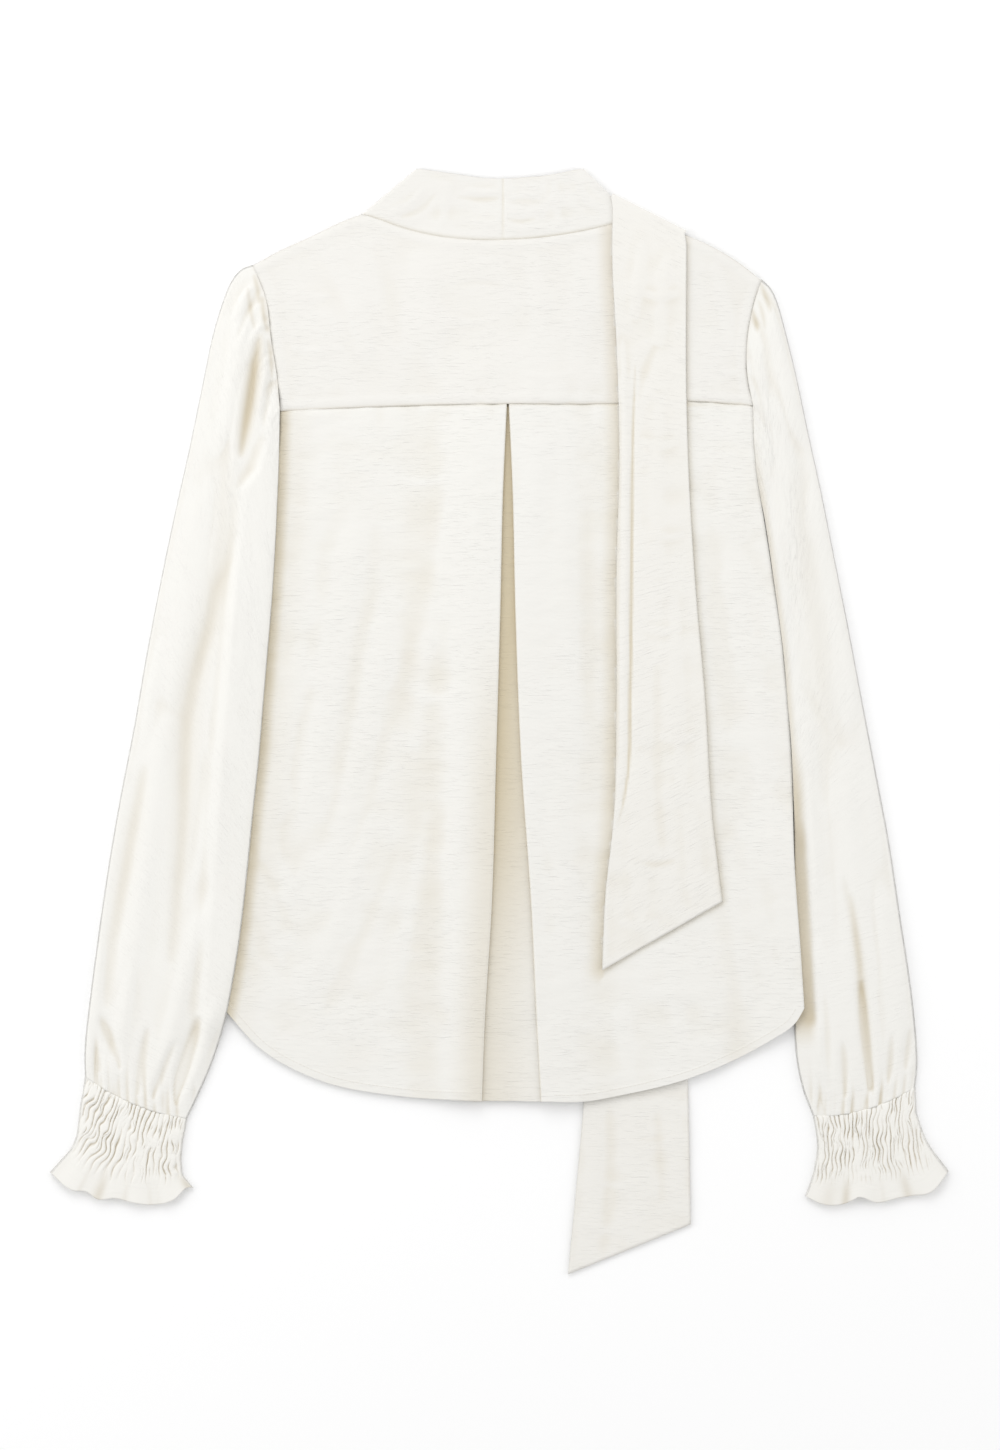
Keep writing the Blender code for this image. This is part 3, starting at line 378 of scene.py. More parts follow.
def make_cloth_material(name, colour, painted_shade_colour, slubs, crinkles):
    """A satin of its own colour, with a darker, warmer colour for its painted shade: the shared cloth look on
    a soft shader with a thin sheen.
    """
    material = bpy.data.materials.new(name)
    material.use_nodes = True
    tree = material.node_tree
    shader = tree.nodes["Principled BSDF"]
    look = add_node(tree, "ShaderNodeGroup", -500, 0, node_tree=CLOTH_GROUP)
    look.inputs["Cloth"].default_value = (*colour, 1)
    look.inputs["Painted shade"].default_value = (*painted_shade_colour, 1)
    look.inputs["Slubs"].default_value = slubs
    look.inputs["Crinkles"].default_value = crinkles
    bump = add_node(tree, "ShaderNodeBump", -250, -250)
    bump.inputs["Distance"].default_value = MM
    bump.inputs["Strength"].default_value = 1
    tree.links.new(look.outputs["Height"], bump.inputs["Height"])
    tree.links.new(bump.outputs["Normal"], shader.inputs["Normal"])
    tree.links.new(look.outputs["Colour"], shader.inputs["Base Color"])
    tree.links.new(look.outputs["Roughness"], shader.inputs["Roughness"])
    shader.inputs["Sheen Weight"].default_value = 0.12
    shader.inputs["Sheen Roughness"].default_value = 0.4
    shader.inputs["Specular IOR Level"].default_value = 0.35
    return material


# The second colour of each satin is the colour of its painted shade.
tie_cloth = make_cloth_material("tie_satin", (0.84, 0.825, 0.785), (0.63, 0.55, 0.395), 0.11, 0.5)
tie_columns = np.linspace(0, 1, TIE_COLUMNS)
hanging_ends = tie_rows(TIE_HANGING_LEFT, TIE_HANGING_RIGHT, np.linspace(0, 1, HANGING_ROWS))
hanging_plan = hanging_ends[:, :1] + tie_columns[:, None] * (hanging_ends[:, 1:] - hanging_ends[:, :1])
in_sight = fade(hanging_plan[..., 1], -272, -258)
hanging_relief = creases(hanging_plan[..., 0], hanging_plan[..., 1], HANGING_CREASES)
hanging_relief += 0.5 + 0.25 * drift(hanging_plan[..., 0], hanging_plan[..., 1], 24, 15, 1)
edge_roll = 0.35 * np.exp(-((np.minimum(tie_columns, 1 - tie_columns) / 0.03) ** 2))
hanging_height = TIE_WALL / 2 + np.maximum(hanging_relief, 0) * in_sight
# The attribute fold here is painted shade in the tie's creases.
hanging_tie = add_sheet(
    "tie_hanging_cloth", with_height(hanging_plan, hanging_height), TIE_WALL - 0.25 + edge_roll,
    hanging_plan, 0.9 * hollow(hanging_height, 14, 1.4), tie_cloth,
)
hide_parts("tie_hanging")

# Buttons
# Six plain shell buttons, 11 mm across, in a row under the placket, face down. Each has a
# raised rim and four holes.
CENTRE_X = 2.6
BUTTON_RADIUS = 5.5
BUTTON_THICKNESS = 2.0
BUTTON_COUNT = 6
BUTTON_TOP_Y = 193.0
BUTTON_PITCH = 75.0
BUTTON_PROFILE = (
    (0, 0.55), (1.0, 0.55), (2.2, 0.55), (3.4, 0.5), (4.1, 0.2), (4.7, 0.06), (5.2, 0.12),
    (5.45, 0.45), (5.5, 0.9), (5.4, 1.4), (5.0, 1.8), (4.2, 1.95), (2.6, 2.0), (1.2, 2.0), (0, 2.0),
)


def button_mesh(y):
    """A round button: a profile of radius and height turned about its middle, with four holes
    sunk into the face as bells around their centres."""
    turns = np.linspace(0, 2 * np.pi, 49)[:-1]
    profile = smooth_curve(BUTTON_PROFILE, np.linspace(0, 1, 45))
    radius = np.maximum(profile[:, :1], 0.02)
    x, offset_y = radius * np.cos(turns), radius * np.sin(turns)
    apart = np.minimum.reduce([
        np.hypot(x - hole_x, offset_y - hole_y) for hole_x in (-1.1, 1.1) for hole_y in (-1.1, 1.1)
    ])
    z = np.broadcast_to(profile[:, 1:], x.shape) + 0.9 * np.exp(-((apart / 0.55) ** 4)) * (profile[:, 1:] < 1)
    return np.stack([CENTRE_X + x, y + offset_y, np.clip(z, 0.05, BUTTON_THICKNESS)], axis=-1)


button_shell = bpy.data.materials.new("button_shell")
button_shell.use_nodes = True
shell_tree = button_shell.node_tree
shell_shader = shell_tree.nodes["Principled BSDF"]
shell_shader.inputs["Roughness"].default_value = 0.25
shell_shader.inputs["Coat Weight"].default_value = 0.3
shell_place = add_node(shell_tree, "ShaderNodeTexCoord", -900, 0)
shell_bands = add_node(shell_tree, "ShaderNodeTexNoise", -650, 0)
shell_bands.inputs["Scale"].default_value = 260
shell_bands.inputs["Detail"].default_value = 4
shell_bands.inputs["Distortion"].default_value = 1.5
shell_colours = add_node(shell_tree, "ShaderNodeValToRGB", -400, 0)
shell_colours.color_ramp.elements[0].color = (0.8, 0.77, 0.7, 1)
shell_colours.color_ramp.elements[1].color = (0.9, 0.88, 0.84, 1)
shell_tree.links.new(shell_place.outputs["Object"], shell_bands.inputs["Vector"])
shell_tree.links.new(shell_bands.outputs["Fac"], shell_colours.inputs["Fac"])
shell_tree.links.new(shell_colours.outputs["Color"], shell_shader.inputs["Base Color"])
for number in range(BUTTON_COUNT):
    rings = button_mesh(BUTTON_TOP_Y - BUTTON_PITCH * number)
    ring_count, side_count = rings.shape[:2]
    button_points = rings.reshape(-1, 3)
    ends = np.array([rings[0].mean(axis=0), rings[-1].mean(axis=0)])
    spokes = np.arange(side_count)
    first_cap = np.stack([np.roll(spokes, -1), spokes, np.full(side_count, len(button_points))], axis=1)
    last_ring = (ring_count - 1) * side_count + spokes
    last_cap = np.stack(
        [last_ring, np.roll(last_ring, -1), np.full(side_count, len(button_points) + 1)], axis=1
    )
    button_faces = (
        grid_quads(ring_count, side_count, True)[:, ::-1].tolist()
        + first_cap[:, ::-1].tolist() + last_cap[:, ::-1].tolist()
    )
    button_data = bpy.data.meshes.new(f"button_{number + 1}_sewn")
    button_data.from_pydata((np.concatenate([button_points, ends]) * MM).tolist(), [], button_faces)
    button_data.shade_smooth()
    button_data.materials.append(button_shell)
    button = bpy.data.objects.new(f"button_{number + 1}_sewn", button_data)
    scene.collection.objects.link(button)
    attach(button, "root")
    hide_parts(f"button_{number + 1}")

# Fronts
# Two fronts of the same satin, hidden under the back. The right front's placket overlaps
# the left one's, and each has a stitched placket, a V neck edge and a turned hem.
PLACKET_HALF = 12.5
SHOULDER_LEFT = ((-172, 319), (-156, 328), (-132, 339), (-109, 350), (-96, 355))
SHOULDER_RIGHT = ((95, 351), (119, 344), (145, 334), (166, 322), (183, 309))
NECK_SEAM = (
    (-96, 355), (-86, 352), (-66, 345), (-37, 339), (3, 337),
    (39, 340), (62, 344), (84, 349), (95, 351),
)
COLLAR_TOP = ((-58, 387), (-31, 383), (1, 380), (36, 383), (59, 387))
ARMHOLE_LEFT_YOKE = ((-172, 319), (-163, 296), (-159, 266), (-155, 241), (-153, 217))
ARMHOLE_LEFT_BACK = ((-153, 217), (-154, 197), (-160, 176), (-170, 162))
ARMHOLE_RIGHT_YOKE = ((183, 309), (177, 289), (173, 266), (173, 242), (177, 221))
ARMHOLE_RIGHT_BACK = ((177, 221), (178, 191), (180, 170))
SIDE_LEFT = ((-170, 162), (-174, 121), (-181, 49), (-188, -27), (-194, -133), (-199, -194))
SIDE_RIGHT = ((180, 170), (188, 121), (198, 49), (204, -27), (206, -97), (211, -169), (213, -201))
YOKE_SEAM_LEFT = ((-153, 217), (-111, 219), (-55, 221), (6, 222))
YOKE_SEAM_RIGHT = ((6, 222), (71, 222), (132, 224), (177, 221))
HEM_LEFT = ((-199, -194), (-191, -203), (-167, -229), (-126, -251), (-69, -262), (-12, -265))
HEM_RIGHT = (
    (29, -266), (59, -266), (88, -261), (132, -250),
    (162, -238), (190, -223), (207, -211), (213, -201),
)
V_POINT_Y = 245.0
V_BOW = 6.0
BAND_INNER_Y = 308.0
BAND_GAP = (0.1, 0.8)
FRONT_HEM_RISE = 12.0
TIE_FOLD_LEFT = (79.5, 369.5)
TIE_FOLD_RIGHT = (131.0, 343.5)
TIE_RUN = (0.868, 0.498)
TIE_RUN_LENGTH = 130.0
REST_MARGIN = 7.0
REST_SLOPE = 40.0
TUCK_START = 40.0
TUCK_REACH = 9.0
TUCK_SLOPE = 54.0


def joined_curve(curves, counts):
    """Several curves end to end, each with its own number of steps and sharp where they meet."""
    stretches = [smooth_curve(c, np.linspace(0, 1, n + 1))[:-1] for c, n in zip(curves, counts)]
    return np.concatenate(stretches + [np.array(curves[-1][-1:], float)])


def patch(top, bottom, left, right, down=None):
    """The grid of points between four edges: the blend of top and bottom, plus the blend of
    left and right, less the blend of the four corners. down gives how far down each row lies."""
    v = (np.linspace(0, 1, len(left)) if down is None else down)[:, None, None]
    u = np.linspace(0, 1, len(top))[None, :, None]
    between_rows = (1 - v) * top + v * bottom
    between_columns = (1 - u) * left[:, None] + u * right[:, None]
    corners = (1 - v) * ((1 - u) * top[0] + u * top[-1]) + v * ((1 - u) * bottom[0] + u * bottom[-1])
    return between_rows + between_columns - corners


def heap(*heights):
    """One smooth height over several things side by side: the cube root of the sum of cubes."""
    return np.cbrt(sum(np.asarray(h, float) ** 3 for h in heights))


def under_tie_cover(x, y):
    """The height of the tie ends that lie on the surface under the fronts."""
    hanging = tie_rows(TIE_HANGING_LEFT, TIE_HANGING_RIGHT, np.linspace(0, 1, 12))
    middle = hanging.mean(axis=1)
    half = np.hypot(*(hanging[:, 1] - hanging[:, 0]).T) / 2
    nearest = np.full(np.shape(x), np.inf)
    for k in range(len(middle) - 1):
        apart = nearest_on(x, y, middle[k : k + 2])[0] - max(half[k], half[k + 1])
        nearest = np.minimum(nearest, apart)
    thrown_start = (np.array(TIE_FOLD_LEFT) + TIE_FOLD_RIGHT) / 2
    thrown_half = np.hypot(*(np.array(TIE_FOLD_LEFT) - TIE_FOLD_RIGHT)) / 2
    thrown_end = thrown_start - np.array(TIE_RUN) * TIE_RUN_LENGTH
    thrown = nearest_on(x, y, (thrown_start, thrown_end))[0] - thrown_half
    height = TIE_WALL + SEAM_GAP
    return heap(
        height * fade(nearest, REST_MARGIN, REST_MARGIN + REST_SLOPE),
        height * fade(thrown, REST_MARGIN, REST_MARGIN + REST_SLOPE),
    )


def button_cover(x, y):
    """The height of the row of buttons under the placket."""
    last = BUTTON_TOP_Y - BUTTON_PITCH * (BUTTON_COUNT - 1)
    apart = nearest_on(x, y, ((CENTRE_X, BUTTON_TOP_Y), (CENTRE_X, last)))[0]
    reach = BUTTON_RADIUS + REST_MARGIN
    return (BUTTON_THICKNESS + SEAM_GAP) * fade(apart, reach, reach + REST_SLOPE)


def tuck_cover(x, y):
    """The height of the right sleeve's thin inner edge, tucked under the body's side."""
    line = np.array(SIDE_RIGHT, float)
    side_x = np.interp(-y, -line[:, 1], line[:, 0])
    across = fade(side_x - x, TUCK_REACH, TUCK_REACH + TUCK_SLOPE)
    along = 1 - fade(-y, TUCK_START, TUCK_START + TUCK_SLOPE)
    return (2 * WALL + 2 * SEAM_GAP) * across * along


def front_rest(x, y):
    """The height of the underside of the fronts and of the front neck bands."""
    return heap(under_tie_cover(x, y), button_cover(x, y), tuck_cover(x, y))


def placket_lift(x, y):
    """What the left front adds where it crosses the right front, under the back."""
    reach = PLACKET_HALF + 3
    along = fade(y, V_POINT_Y, V_POINT_Y + REST_SLOPE)
    return (WALL + LAYER_GAP) * fade(np.abs(x - CENTRE_X), reach, reach + REST_SLOPE) * along


def front_edge(side, count=7):
    """The bowed V neck edge of one front; side is -1 for left and 1 for right."""
    neck = np.array((NECK_SEAM[0] if side < 0 else NECK_SEAM[-1]), float)
    point = np.array((CENTRE_X + side * 0.4, V_POINT_Y))
    t = np.linspace(0, 1, count)[:, None]
    run = point - neck
    bow = np.array((-run[1], run[0])) / np.hypot(*run) * side * V_BOW
    return neck + run * t + bow * 4 * t * (1 - t)


def front_plan(side):
    """The plan grid of one front: a patch between shoulder, armhole and side, hem and centre."""
    shoulder = SHOULDER_LEFT if side < 0 else SHOULDER_RIGHT[::-1]
    armhole = (
        (ARMHOLE_LEFT_YOKE, ARMHOLE_LEFT_BACK) if side < 0 else (ARMHOLE_RIGHT_YOKE, ARMHOLE_RIGHT_BACK)
    )
    outline = SIDE_LEFT if side < 0 else SIDE_RIGHT
    hem_end = np.array(outline[-1], float) + (0, 2)
    overlap_x = CENTRE_X - side * PLACKET_HALF
    placket_foot = np.array((overlap_x, HEM_LEFT[-1][1] + FRONT_HEM_RISE))
    placket_top = np.array((overlap_x, V_POINT_Y - 8))
    down = np.linspace(0, 1, 127)[1:, None]
    centre = np.concatenate([front_edge(side, 44), placket_top + (placket_foot - placket_top) * down])
    edge = joined_curve((*armhole, outline), (30, 14, len(centre) - 45))
    edge[-1] = hem_end
    across = np.linspace(0, 1, 70)
    top = smooth_curve(shoulder, across)
    top[-1] = centre[0]
    hem = HEM_LEFT if side < 0 else HEM_RIGHT[::-1]
    bottom = smooth_curve(hem, across)
    bottom[:, 1] += FRONT_HEM_RISE
    bottom = bottom + (1 - across[:, None]) * (hem_end - bottom[0])
    bottom = bottom + across[:, None] * (placket_foot - bottom[-1])
    return patch(top, bottom, edge, centre)


front_cloth = make_cloth_material("front_satin", (0.84, 0.83, 0.795), (0.63, 0.55, 0.395), 0.14, 0.5)
for front_name, side, cut_area in (("front_left", -1, 0.107), ("front_right", 1, 0.112)):
    plan = front_plan(side)
    x, y = plan[..., 0], plan[..., 1]
    height = front_rest(x, y) + WALL / 2 + (placket_lift(x, y) if side < 0 else 0)
    from_centre = np.linspace(1, 0, plan.shape[1]) * np.hypot(*(plan[:, -1] - plan[:, 0]).T)[:, None]
    from_hem = np.linspace(1, 0, plan.shape[0])[:, None] * 560
    seam = np.exp(-((from_centre - 2 * PLACKET_HALF) / 0.9) ** 2) + np.exp(-(((from_hem - 6) / 0.9) ** 2))
    # The attribute fold is painted shade along the thinned stitch lines of the placket and the hem.
    front = add_sheet(
        front_name + "_cloth", with_height(plan, height), CLOTH - 0.2 * seam, plan,
        0.3 * np.clip(seam, 0, 1), front_cloth,
    )
    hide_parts(front_name)

# Collar
# One tall strip of satin: across the back of the neck, where it has a seam at the centre,
# folded at both sides of the neck and run down the V of the front as two bands.
COLLAR_CREASES = (
    (2.2, 0.5, (-24, 372), (-12, 370), (0, 371)),
    (1.8, -0.35, (-30, 367), (-14, 365), (0.5, 366)),
    (2.0, 0.45, (6, 366), (18, 368), (30, 366)),
    (2.0, 0.4, (-20, 350), (-8, 348), (1, 349)),
    (1.8, -0.35, (4, 352), (14, 350), (26, 352)),
    (2.4, 0.5, (5, 345), (18, 344), (34, 347)),
    (3.0, 0.5, (-78, 355), (-62, 362), (-52, 374)),
    (2.5, -0.35, (-70, 352), (-55, 358), (-44, 370)),
    (3.0, 0.5, (80, 357), (64, 363), (54, 375)),
    (3.5, 0.35, (-40, 345), (-38, 360), (-36, 378)),
    (3.5, 0.35, (42, 346), (40, 362), (38, 378)),
)


def back_rest(x, y):
    """The height of the underside of the yoke, the collar's back and the pleat's underlay."""
    return front_rest(x, y) + placket_lift(x, y) + WALL + LAYER_GAP


def fold_arc(radius, count=3):
    """The points of a half turn between two layers: how far out of the fold, and the rise."""
    angles = np.radians(np.linspace(-90, 90, count + 2)[1:-1])
    return radius * (1 - np.cos(angles)), radius * np.sin(angles)


collar_across = np.linspace(0, 1, 34)
along_back = np.linspace(0.02, 0.98, 150)
collar_seam = smooth_curve(NECK_SEAM, along_back) + (0, 2 * SEAM_SHOWN)
collar_edge = smooth_curve(COLLAR_TOP, along_back)
collar_edge[:, 1] += 0.8 * drift(collar_edge[:, 0], 0, 22, 1, 3)
collar_back = collar_seam + collar_across[:, None, None] * (collar_edge - collar_seam)
corner_foot = np.array((NECK_SEAM[0], NECK_SEAM[-1]), float) + (0, 2 * SEAM_SHOWN)
corner_top = np.array((COLLAR_TOP[0], COLLAR_TOP[-1]), float)


def collar_band(side):
    """A front band, from its end at the centre front to the fold at the side of the neck."""
    outer = front_edge(side, 40)[::-1] + np.array((-side * BAND_GAP[0], BAND_GAP[1]))
    inner_start = np.array((CENTRE_X + side * 0.4, BAND_INNER_Y))
    inner_end = corner_top[0 if side < 0 else 1]
    inner = inner_start + (inner_end - inner_start) * np.linspace(0, 1, len(outer))[:, None]
    return (outer + collar_across[:, None, None] * (inner - outer))[:, :-1]


def collar_turn(side, order):
    """The half turn of the strip at one side of the neck, as columns of points."""
    inset, rise = fold_arc((WALL + LAYER_GAP) / 2, 7)
    foot, top = corner_foot[max(side, 0)], corner_top[max(side, 0)]
    line = foot + collar_across[:, None] * (top - foot)
    run = (top - foot) / np.hypot(*(top - foot))
    inward = np.array((-run[1], run[0])) * side
    columns = []
    for out, up in zip(inset, rise):
        plan = line + inward * (WALL / 2 + out)
        level = back_rest(line[:, 0], line[:, 1]) - LAYER_GAP / 2 + up
        columns.append(np.column_stack([plan, level]))
    return np.stack(columns[::order], axis=1)


def laid(plan, rest):
    return with_height(plan, rest(plan[..., 0], plan[..., 1]) + WALL / 2)


collar_laid = laid(collar_back, back_rest)
collar_relief = creases(collar_back[..., 0], collar_back[..., 1], COLLAR_CREASES)
collar_relief += 0.3 + 0.25 * drift(collar_back[..., 0], collar_back[..., 1], 17, 9, 4)
centre_seam = np.exp(-(((collar_back[..., 0] - 2.6) / 1.0) ** 2))
collar_ends = np.clip(np.minimum(along_back, 1 - along_back) * 12, 0, 1)
collar_laid[..., 2] += np.maximum(collar_relief, -0.1) * collar_ends - 0.45 * centre_seam
collar_middle = np.concatenate(
    [
        laid(collar_band(-1), front_rest), collar_turn(-1, 1), collar_laid,
        collar_turn(1, -1), laid(collar_band(1)[:, ::-1], front_rest),
    ],
    axis=1,
)
collar_middle[0, 38:-38] += (0, -1.0, -0.7)
# Painted shade in the collar's creases, with a little more along its neck seam.
collar_painted_shade = 0.6 * hollow(collar_middle[..., 2], 16, 0.7)
collar_painted_shade[:2] += 0.1
collar_cloth = make_cloth_material("collar_satin", (0.82, 0.808, 0.775), (0.66, 0.59, 0.44), 0.12, 0.4)
collar = add_sheet(
    "collar_cloth", collar_middle, CLOTH, collar_middle[..., :2], np.clip(collar_painted_shade, 0, 1), collar_cloth
)
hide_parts("collar")

# Back yoke
# The wide yoke of the satin, from the neck seam and the shoulders down to a straight seam.
# Its seam allowances are pressed up inside it and stand as a low roll along the seam.
HEM_WIDTH = 6.0
ARMHOLE_SHOWN = 0.42
HALF_COLUMNS = 80
PLEAT_Y = (222, 163, 77, -27, -128, -212, -266)
PLEAT_LEFT_X = (5.6, 3, 1, -2, -5, -10, -12)
PLEAT_RIGHT_X = (6.4, 9, 11, 15, 22, 26, 29)
PLEAT_LEFT_DEPTH = (24, 22, 20, 16, 12, 8, 6)
PLEAT_RIGHT_DEPTH = (24, 22, 21, 19, 16, 13, 11)
PLEAT_LIFT = 2 * FOLD_STEP + 0.2
PLEAT_REACH = 30.0
PLEAT_SLOPE = 42.0
BACK_FOLDS = (
    (-96, 150, -138, -90, 14, 1.4),
    (-72, 100, -118, -130, 12, 1.0),
    (28, 205, 22, 130, 9, 0.8),
)
YOKE_CREASES = (
    (7, 0.5, (-120, 330), (-100, 290), (-92, 250)),
    (8, 0.45, (-60, 330), (-48, 290), (-46, 240)),
    (7, -0.35, (-88, 335), (-76, 300), (-70, 262)),
    (6, 0.4, (20, 330), (28, 296), (26, 262)),
    (9, 0.4, (62, 335), (58, 290), (52, 240)),
    (5, 0.45, (150, 322), (158, 290), (162, 258)),
    (3, 0.4, (-150, 300), (-136, 296), (-118, 298)),
    (3, 0.35, (-146, 262), (-128, 259), (-108, 262)),
    (2.5, 0.35, (-40, 282), (-22, 279), (-2, 281)),
    (2.5, -0.3, (-30, 305), (-14, 307), (4, 304)),
    (3, 0.35, (14, 244), (32, 241), (52, 244)),
    (3, 0.35, (150, 246), (158, 244), (168, 245)),
)


def fold_relief(x, y, folds):
    """The height of soft ridges: a bell across each, and tapering to nothing at its ends."""
    total = np.zeros(np.shape(x))
    for from_x, from_y, to_x, to_y, half_width, height in folds:
        run_x, run_y = to_x - from_x, to_y - from_y
        length = np.hypot(run_x, run_y)
        along = ((x - from_x) * run_x + (y - from_y) * run_y) / length**2
        across = ((x - from_x) * run_y - (y - from_y) * run_x) / length
        ends = fade(np.abs(along - 0.5), 0.3, 0.55)
        total = np.maximum(total, height * ends * np.exp(-((across / half_width) ** 2)))
    return total


def outer_back_rest(x, y):
    """The height of the underside of the back's outer layer, which rises over the pleat."""
    middle = np.interp(-y, [-v for v in PLEAT_Y], (np.array(PLEAT_LEFT_X) + PLEAT_RIGHT_X) / 2)
    across = fade(np.abs(x - middle), PLEAT_REACH, PLEAT_REACH + PLEAT_SLOPE)
    seam_y = YOKE_SEAM_LEFT[-1][1] + 4
    along = fade(y, seam_y, seam_y + REST_SLOPE)
    return back_rest(x, y) + PLEAT_LIFT * across * along + fold_relief(x, y, BACK_FOLDS)


TIE_OVER_LEFT = (
    (79.5, 369.5), (79, 324), (82, 264), (84, 187), (82, 105),
    (82, 15), (80, -67), (74, -125), (72, -174),
)
TIE_OVER_RIGHT = ((131, 343.5), (131, 225), (132, 187), (137, 98), (144, 15), (149, -67), (156, -126))


def beside_tie(x, y):
    """The shade that the thrown tie throws on the cloth beside it: wide on its left, where its
    edge is rolled, and narrow on its right and below its end."""
    left, right = smooth_curve(TIE_OVER_LEFT, np.linspace(0, 1, 40)), smooth_curve(
        TIE_OVER_RIGHT, np.linspace(0, 1, 40)
    )
    end = np.array((TIE_OVER_LEFT[-1], TIE_OVER_RIGHT[-1]), float)
    outside = np.where(x < np.interp(-y, -left[:, 1], left[:, 0]), 1.0, 0.0)
    on_left = fade(nearest_on(x, y, left)[0], 1, 13) * outside
    others = np.minimum(nearest_on(x, y, right)[0], nearest_on(x, y, end)[0])
    return np.maximum(0.42 * on_left, 0.28 * fade(others, 0, 5))


yoke_rows, yoke_columns = 110, 170
yoke_top = joined_curve((SHOULDER_LEFT, NECK_SEAM, SHOULDER_RIGHT), (38, 90, yoke_columns - 129))
yoke_bottom = joined_curve((YOKE_SEAM_LEFT, YOKE_SEAM_RIGHT), (82, yoke_columns - 83))
yoke_bottom[:, 1] += SEAM_SHOWN
yoke_left = smooth_curve(ARMHOLE_LEFT_YOKE, np.linspace(0, 1, yoke_rows))
yoke_right = smooth_curve(ARMHOLE_RIGHT_YOKE, np.linspace(0, 1, yoke_rows))
yoke_left[:, 0] -= ARMHOLE_SHOWN
yoke_right[:, 0] += ARMHOLE_SHOWN
yoke_top[0], yoke_top[-1] = yoke_left[0], yoke_right[0]
yoke_bottom[0], yoke_bottom[-1] = yoke_left[-1], yoke_right[-1]
yoke_plan = patch(yoke_top, yoke_bottom, yoke_left, yoke_right)
yoke_x, yoke_y = yoke_plan[..., 0], yoke_plan[..., 1]
to_yoke_seam = nearest_on(yoke_x, yoke_y, yoke_bottom[::6])[0]
to_yoke_top = nearest_on(yoke_x, yoke_y, yoke_top[::4])[0]
to_armholes = np.minimum(
    nearest_on(yoke_x, yoke_y, yoke_left[::8])[0], nearest_on(yoke_x, yoke_y, yoke_right[::8])[0]
)
yoke_height = outer_back_rest(yoke_x, yoke_y) + WALL / 2
yoke_puckers = fade(to_yoke_seam, 2, 26) * drift(yoke_x, yoke_y, 9, 40, 5) * 0.3
yoke_height += creases(yoke_x, yoke_y, YOKE_CREASES) + yoke_puckers + 0.3 * drift(yoke_x, yoke_y, 26, 18, 6)
yoke_height += 0.45 * np.exp(-(((to_yoke_seam - 4.5) / 3) ** 2)) + 0.4 * np.exp(
    -(((to_yoke_top - 4) / 3) ** 2)
)
yoke_height += 0.4 * np.exp(-(((to_armholes - 4) / 2.5) ** 2))
yoke_height -= 0.35 * np.exp(-((to_yoke_seam / 1.1) ** 2)) + 0.2 * np.exp(-((to_yoke_top / 1.1) ** 2))
# Painted shade in the yoke's creases and along its seam, and the thrown tie's painted shadow beside it.
yoke_painted_shade = 0.3 * hollow(yoke_height, 30, 0.9) + 0.22 * np.exp(-((to_yoke_seam / 1.3) ** 2))
yoke_painted_shade = np.maximum(yoke_painted_shade, beside_tie(yoke_x, yoke_y))
yoke_cloth = make_cloth_material("yoke_satin", (0.828, 0.815, 0.78), (0.62, 0.54, 0.4), 0.12, 0.5)
yoke = add_sheet(
    "back_yoke_cloth", with_height(yoke_plan, yoke_height), CLOTH, yoke_plan,
    np.clip(yoke_painted_shade, 0, 1), yoke_cloth,
)
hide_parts("back_yoke")

# Back panel
# The back below the yoke, in one piece with an inverted pleat at its centre: fold, underlay,
# fold. The pleat falls open towards a curved shirt-tail hem, turned up 6 mm and stitched.
BACK_CREASES = (
    (9, -1.0, (-86, 139), (-98, 86), (-121, 5), (-145, -112)),
    (7, -0.6, (-60, 60), (-84, -20), (-112, -110)),
    (8, 0.7, (-30, 190), (-38, 120), (-52, 40), (-60, -30)),
    (10, 0.6, (-120, 190), (-132, 120), (-140, 40)),
    (7, 0.6, (-138, 60), (-150, -20), (-165, -100)),
    (6, -0.5, (-128, 40), (-140, -40), (-156, -120)),
    (6, 0.6, (-88, -60), (-108, -130), (-140, -200)),
    (5, -0.45, (-72, -90), (-96, -150), (-124, -208)),
    (6, 0.6, (-50, -60), (-62, -130), (-80, -210)),
    (7, 0.5, (-28, 30), (-30, -60), (-38, -150)),
    (4, 0.5, (-172, -60), (-158, -90), (-140, -128)),
    (4, -0.4, (-176, -84), (-160, -112), (-146, -146)),
    (4, 0.5, (-180, -110), (-164, -138), (-150, -172)),
    (4, 0.45, (-184, -146), (-168, -168), (-148, -196)),
    (7, 0.5, (48, 200), (46, 120), (50, 30), (52, -60)),
    (6, -0.4, (62, 160), (62, 80), (64, 0)),
    (8, 0.5, (40, -40), (46, -120), (54, -210)),
    (9, 0.6, (160, 190), (166, 110), (172, 30)),
    (7, -0.5, (148, 140), (154, 70), (162, -10)),
    (8, 0.6, (176, 60), (184, -20), (190, -110)),
    (7, 0.5, (160, -80), (166, -150), (176, -206)),
    (6, -0.4, (184, -60), (188, -120), (196, -180)),
    (6, 0.5, (118, -160), (124, -200), (130, -236)),
    (6, 0.5, (84, -196), (88, -226), (92, -252)),
    (3, 0.4, (-150, 150), (-130, 146), (-112, 150)),
    (3, 0.35, (-70, 170), (-52, 167), (-34, 170)),
    (3, 0.35, (-64, 20), (-46, 16), (-28, 19)),
    (3, 0.35, (96, -186), (112, -190), (130, -187)),
    (3, 0.35, (176, 20), (186, 17), (196, 19)),
)
back_hem_share = 2 * HEM_WIDTH / (PLEAT_Y[0] - PLEAT_Y[-1])
back_rows = np.concatenate([
    np.linspace(0, 1 - back_hem_share, 196)[:-1], np.linspace(1 - back_hem_share, 1, 30),
])
pleat_y = np.interp(back_rows, (0, 1), (PLEAT_Y[0] - SEAM_SHOWN, PLEAT_Y[-1]))
pleat_down = -np.array(PLEAT_Y, float)
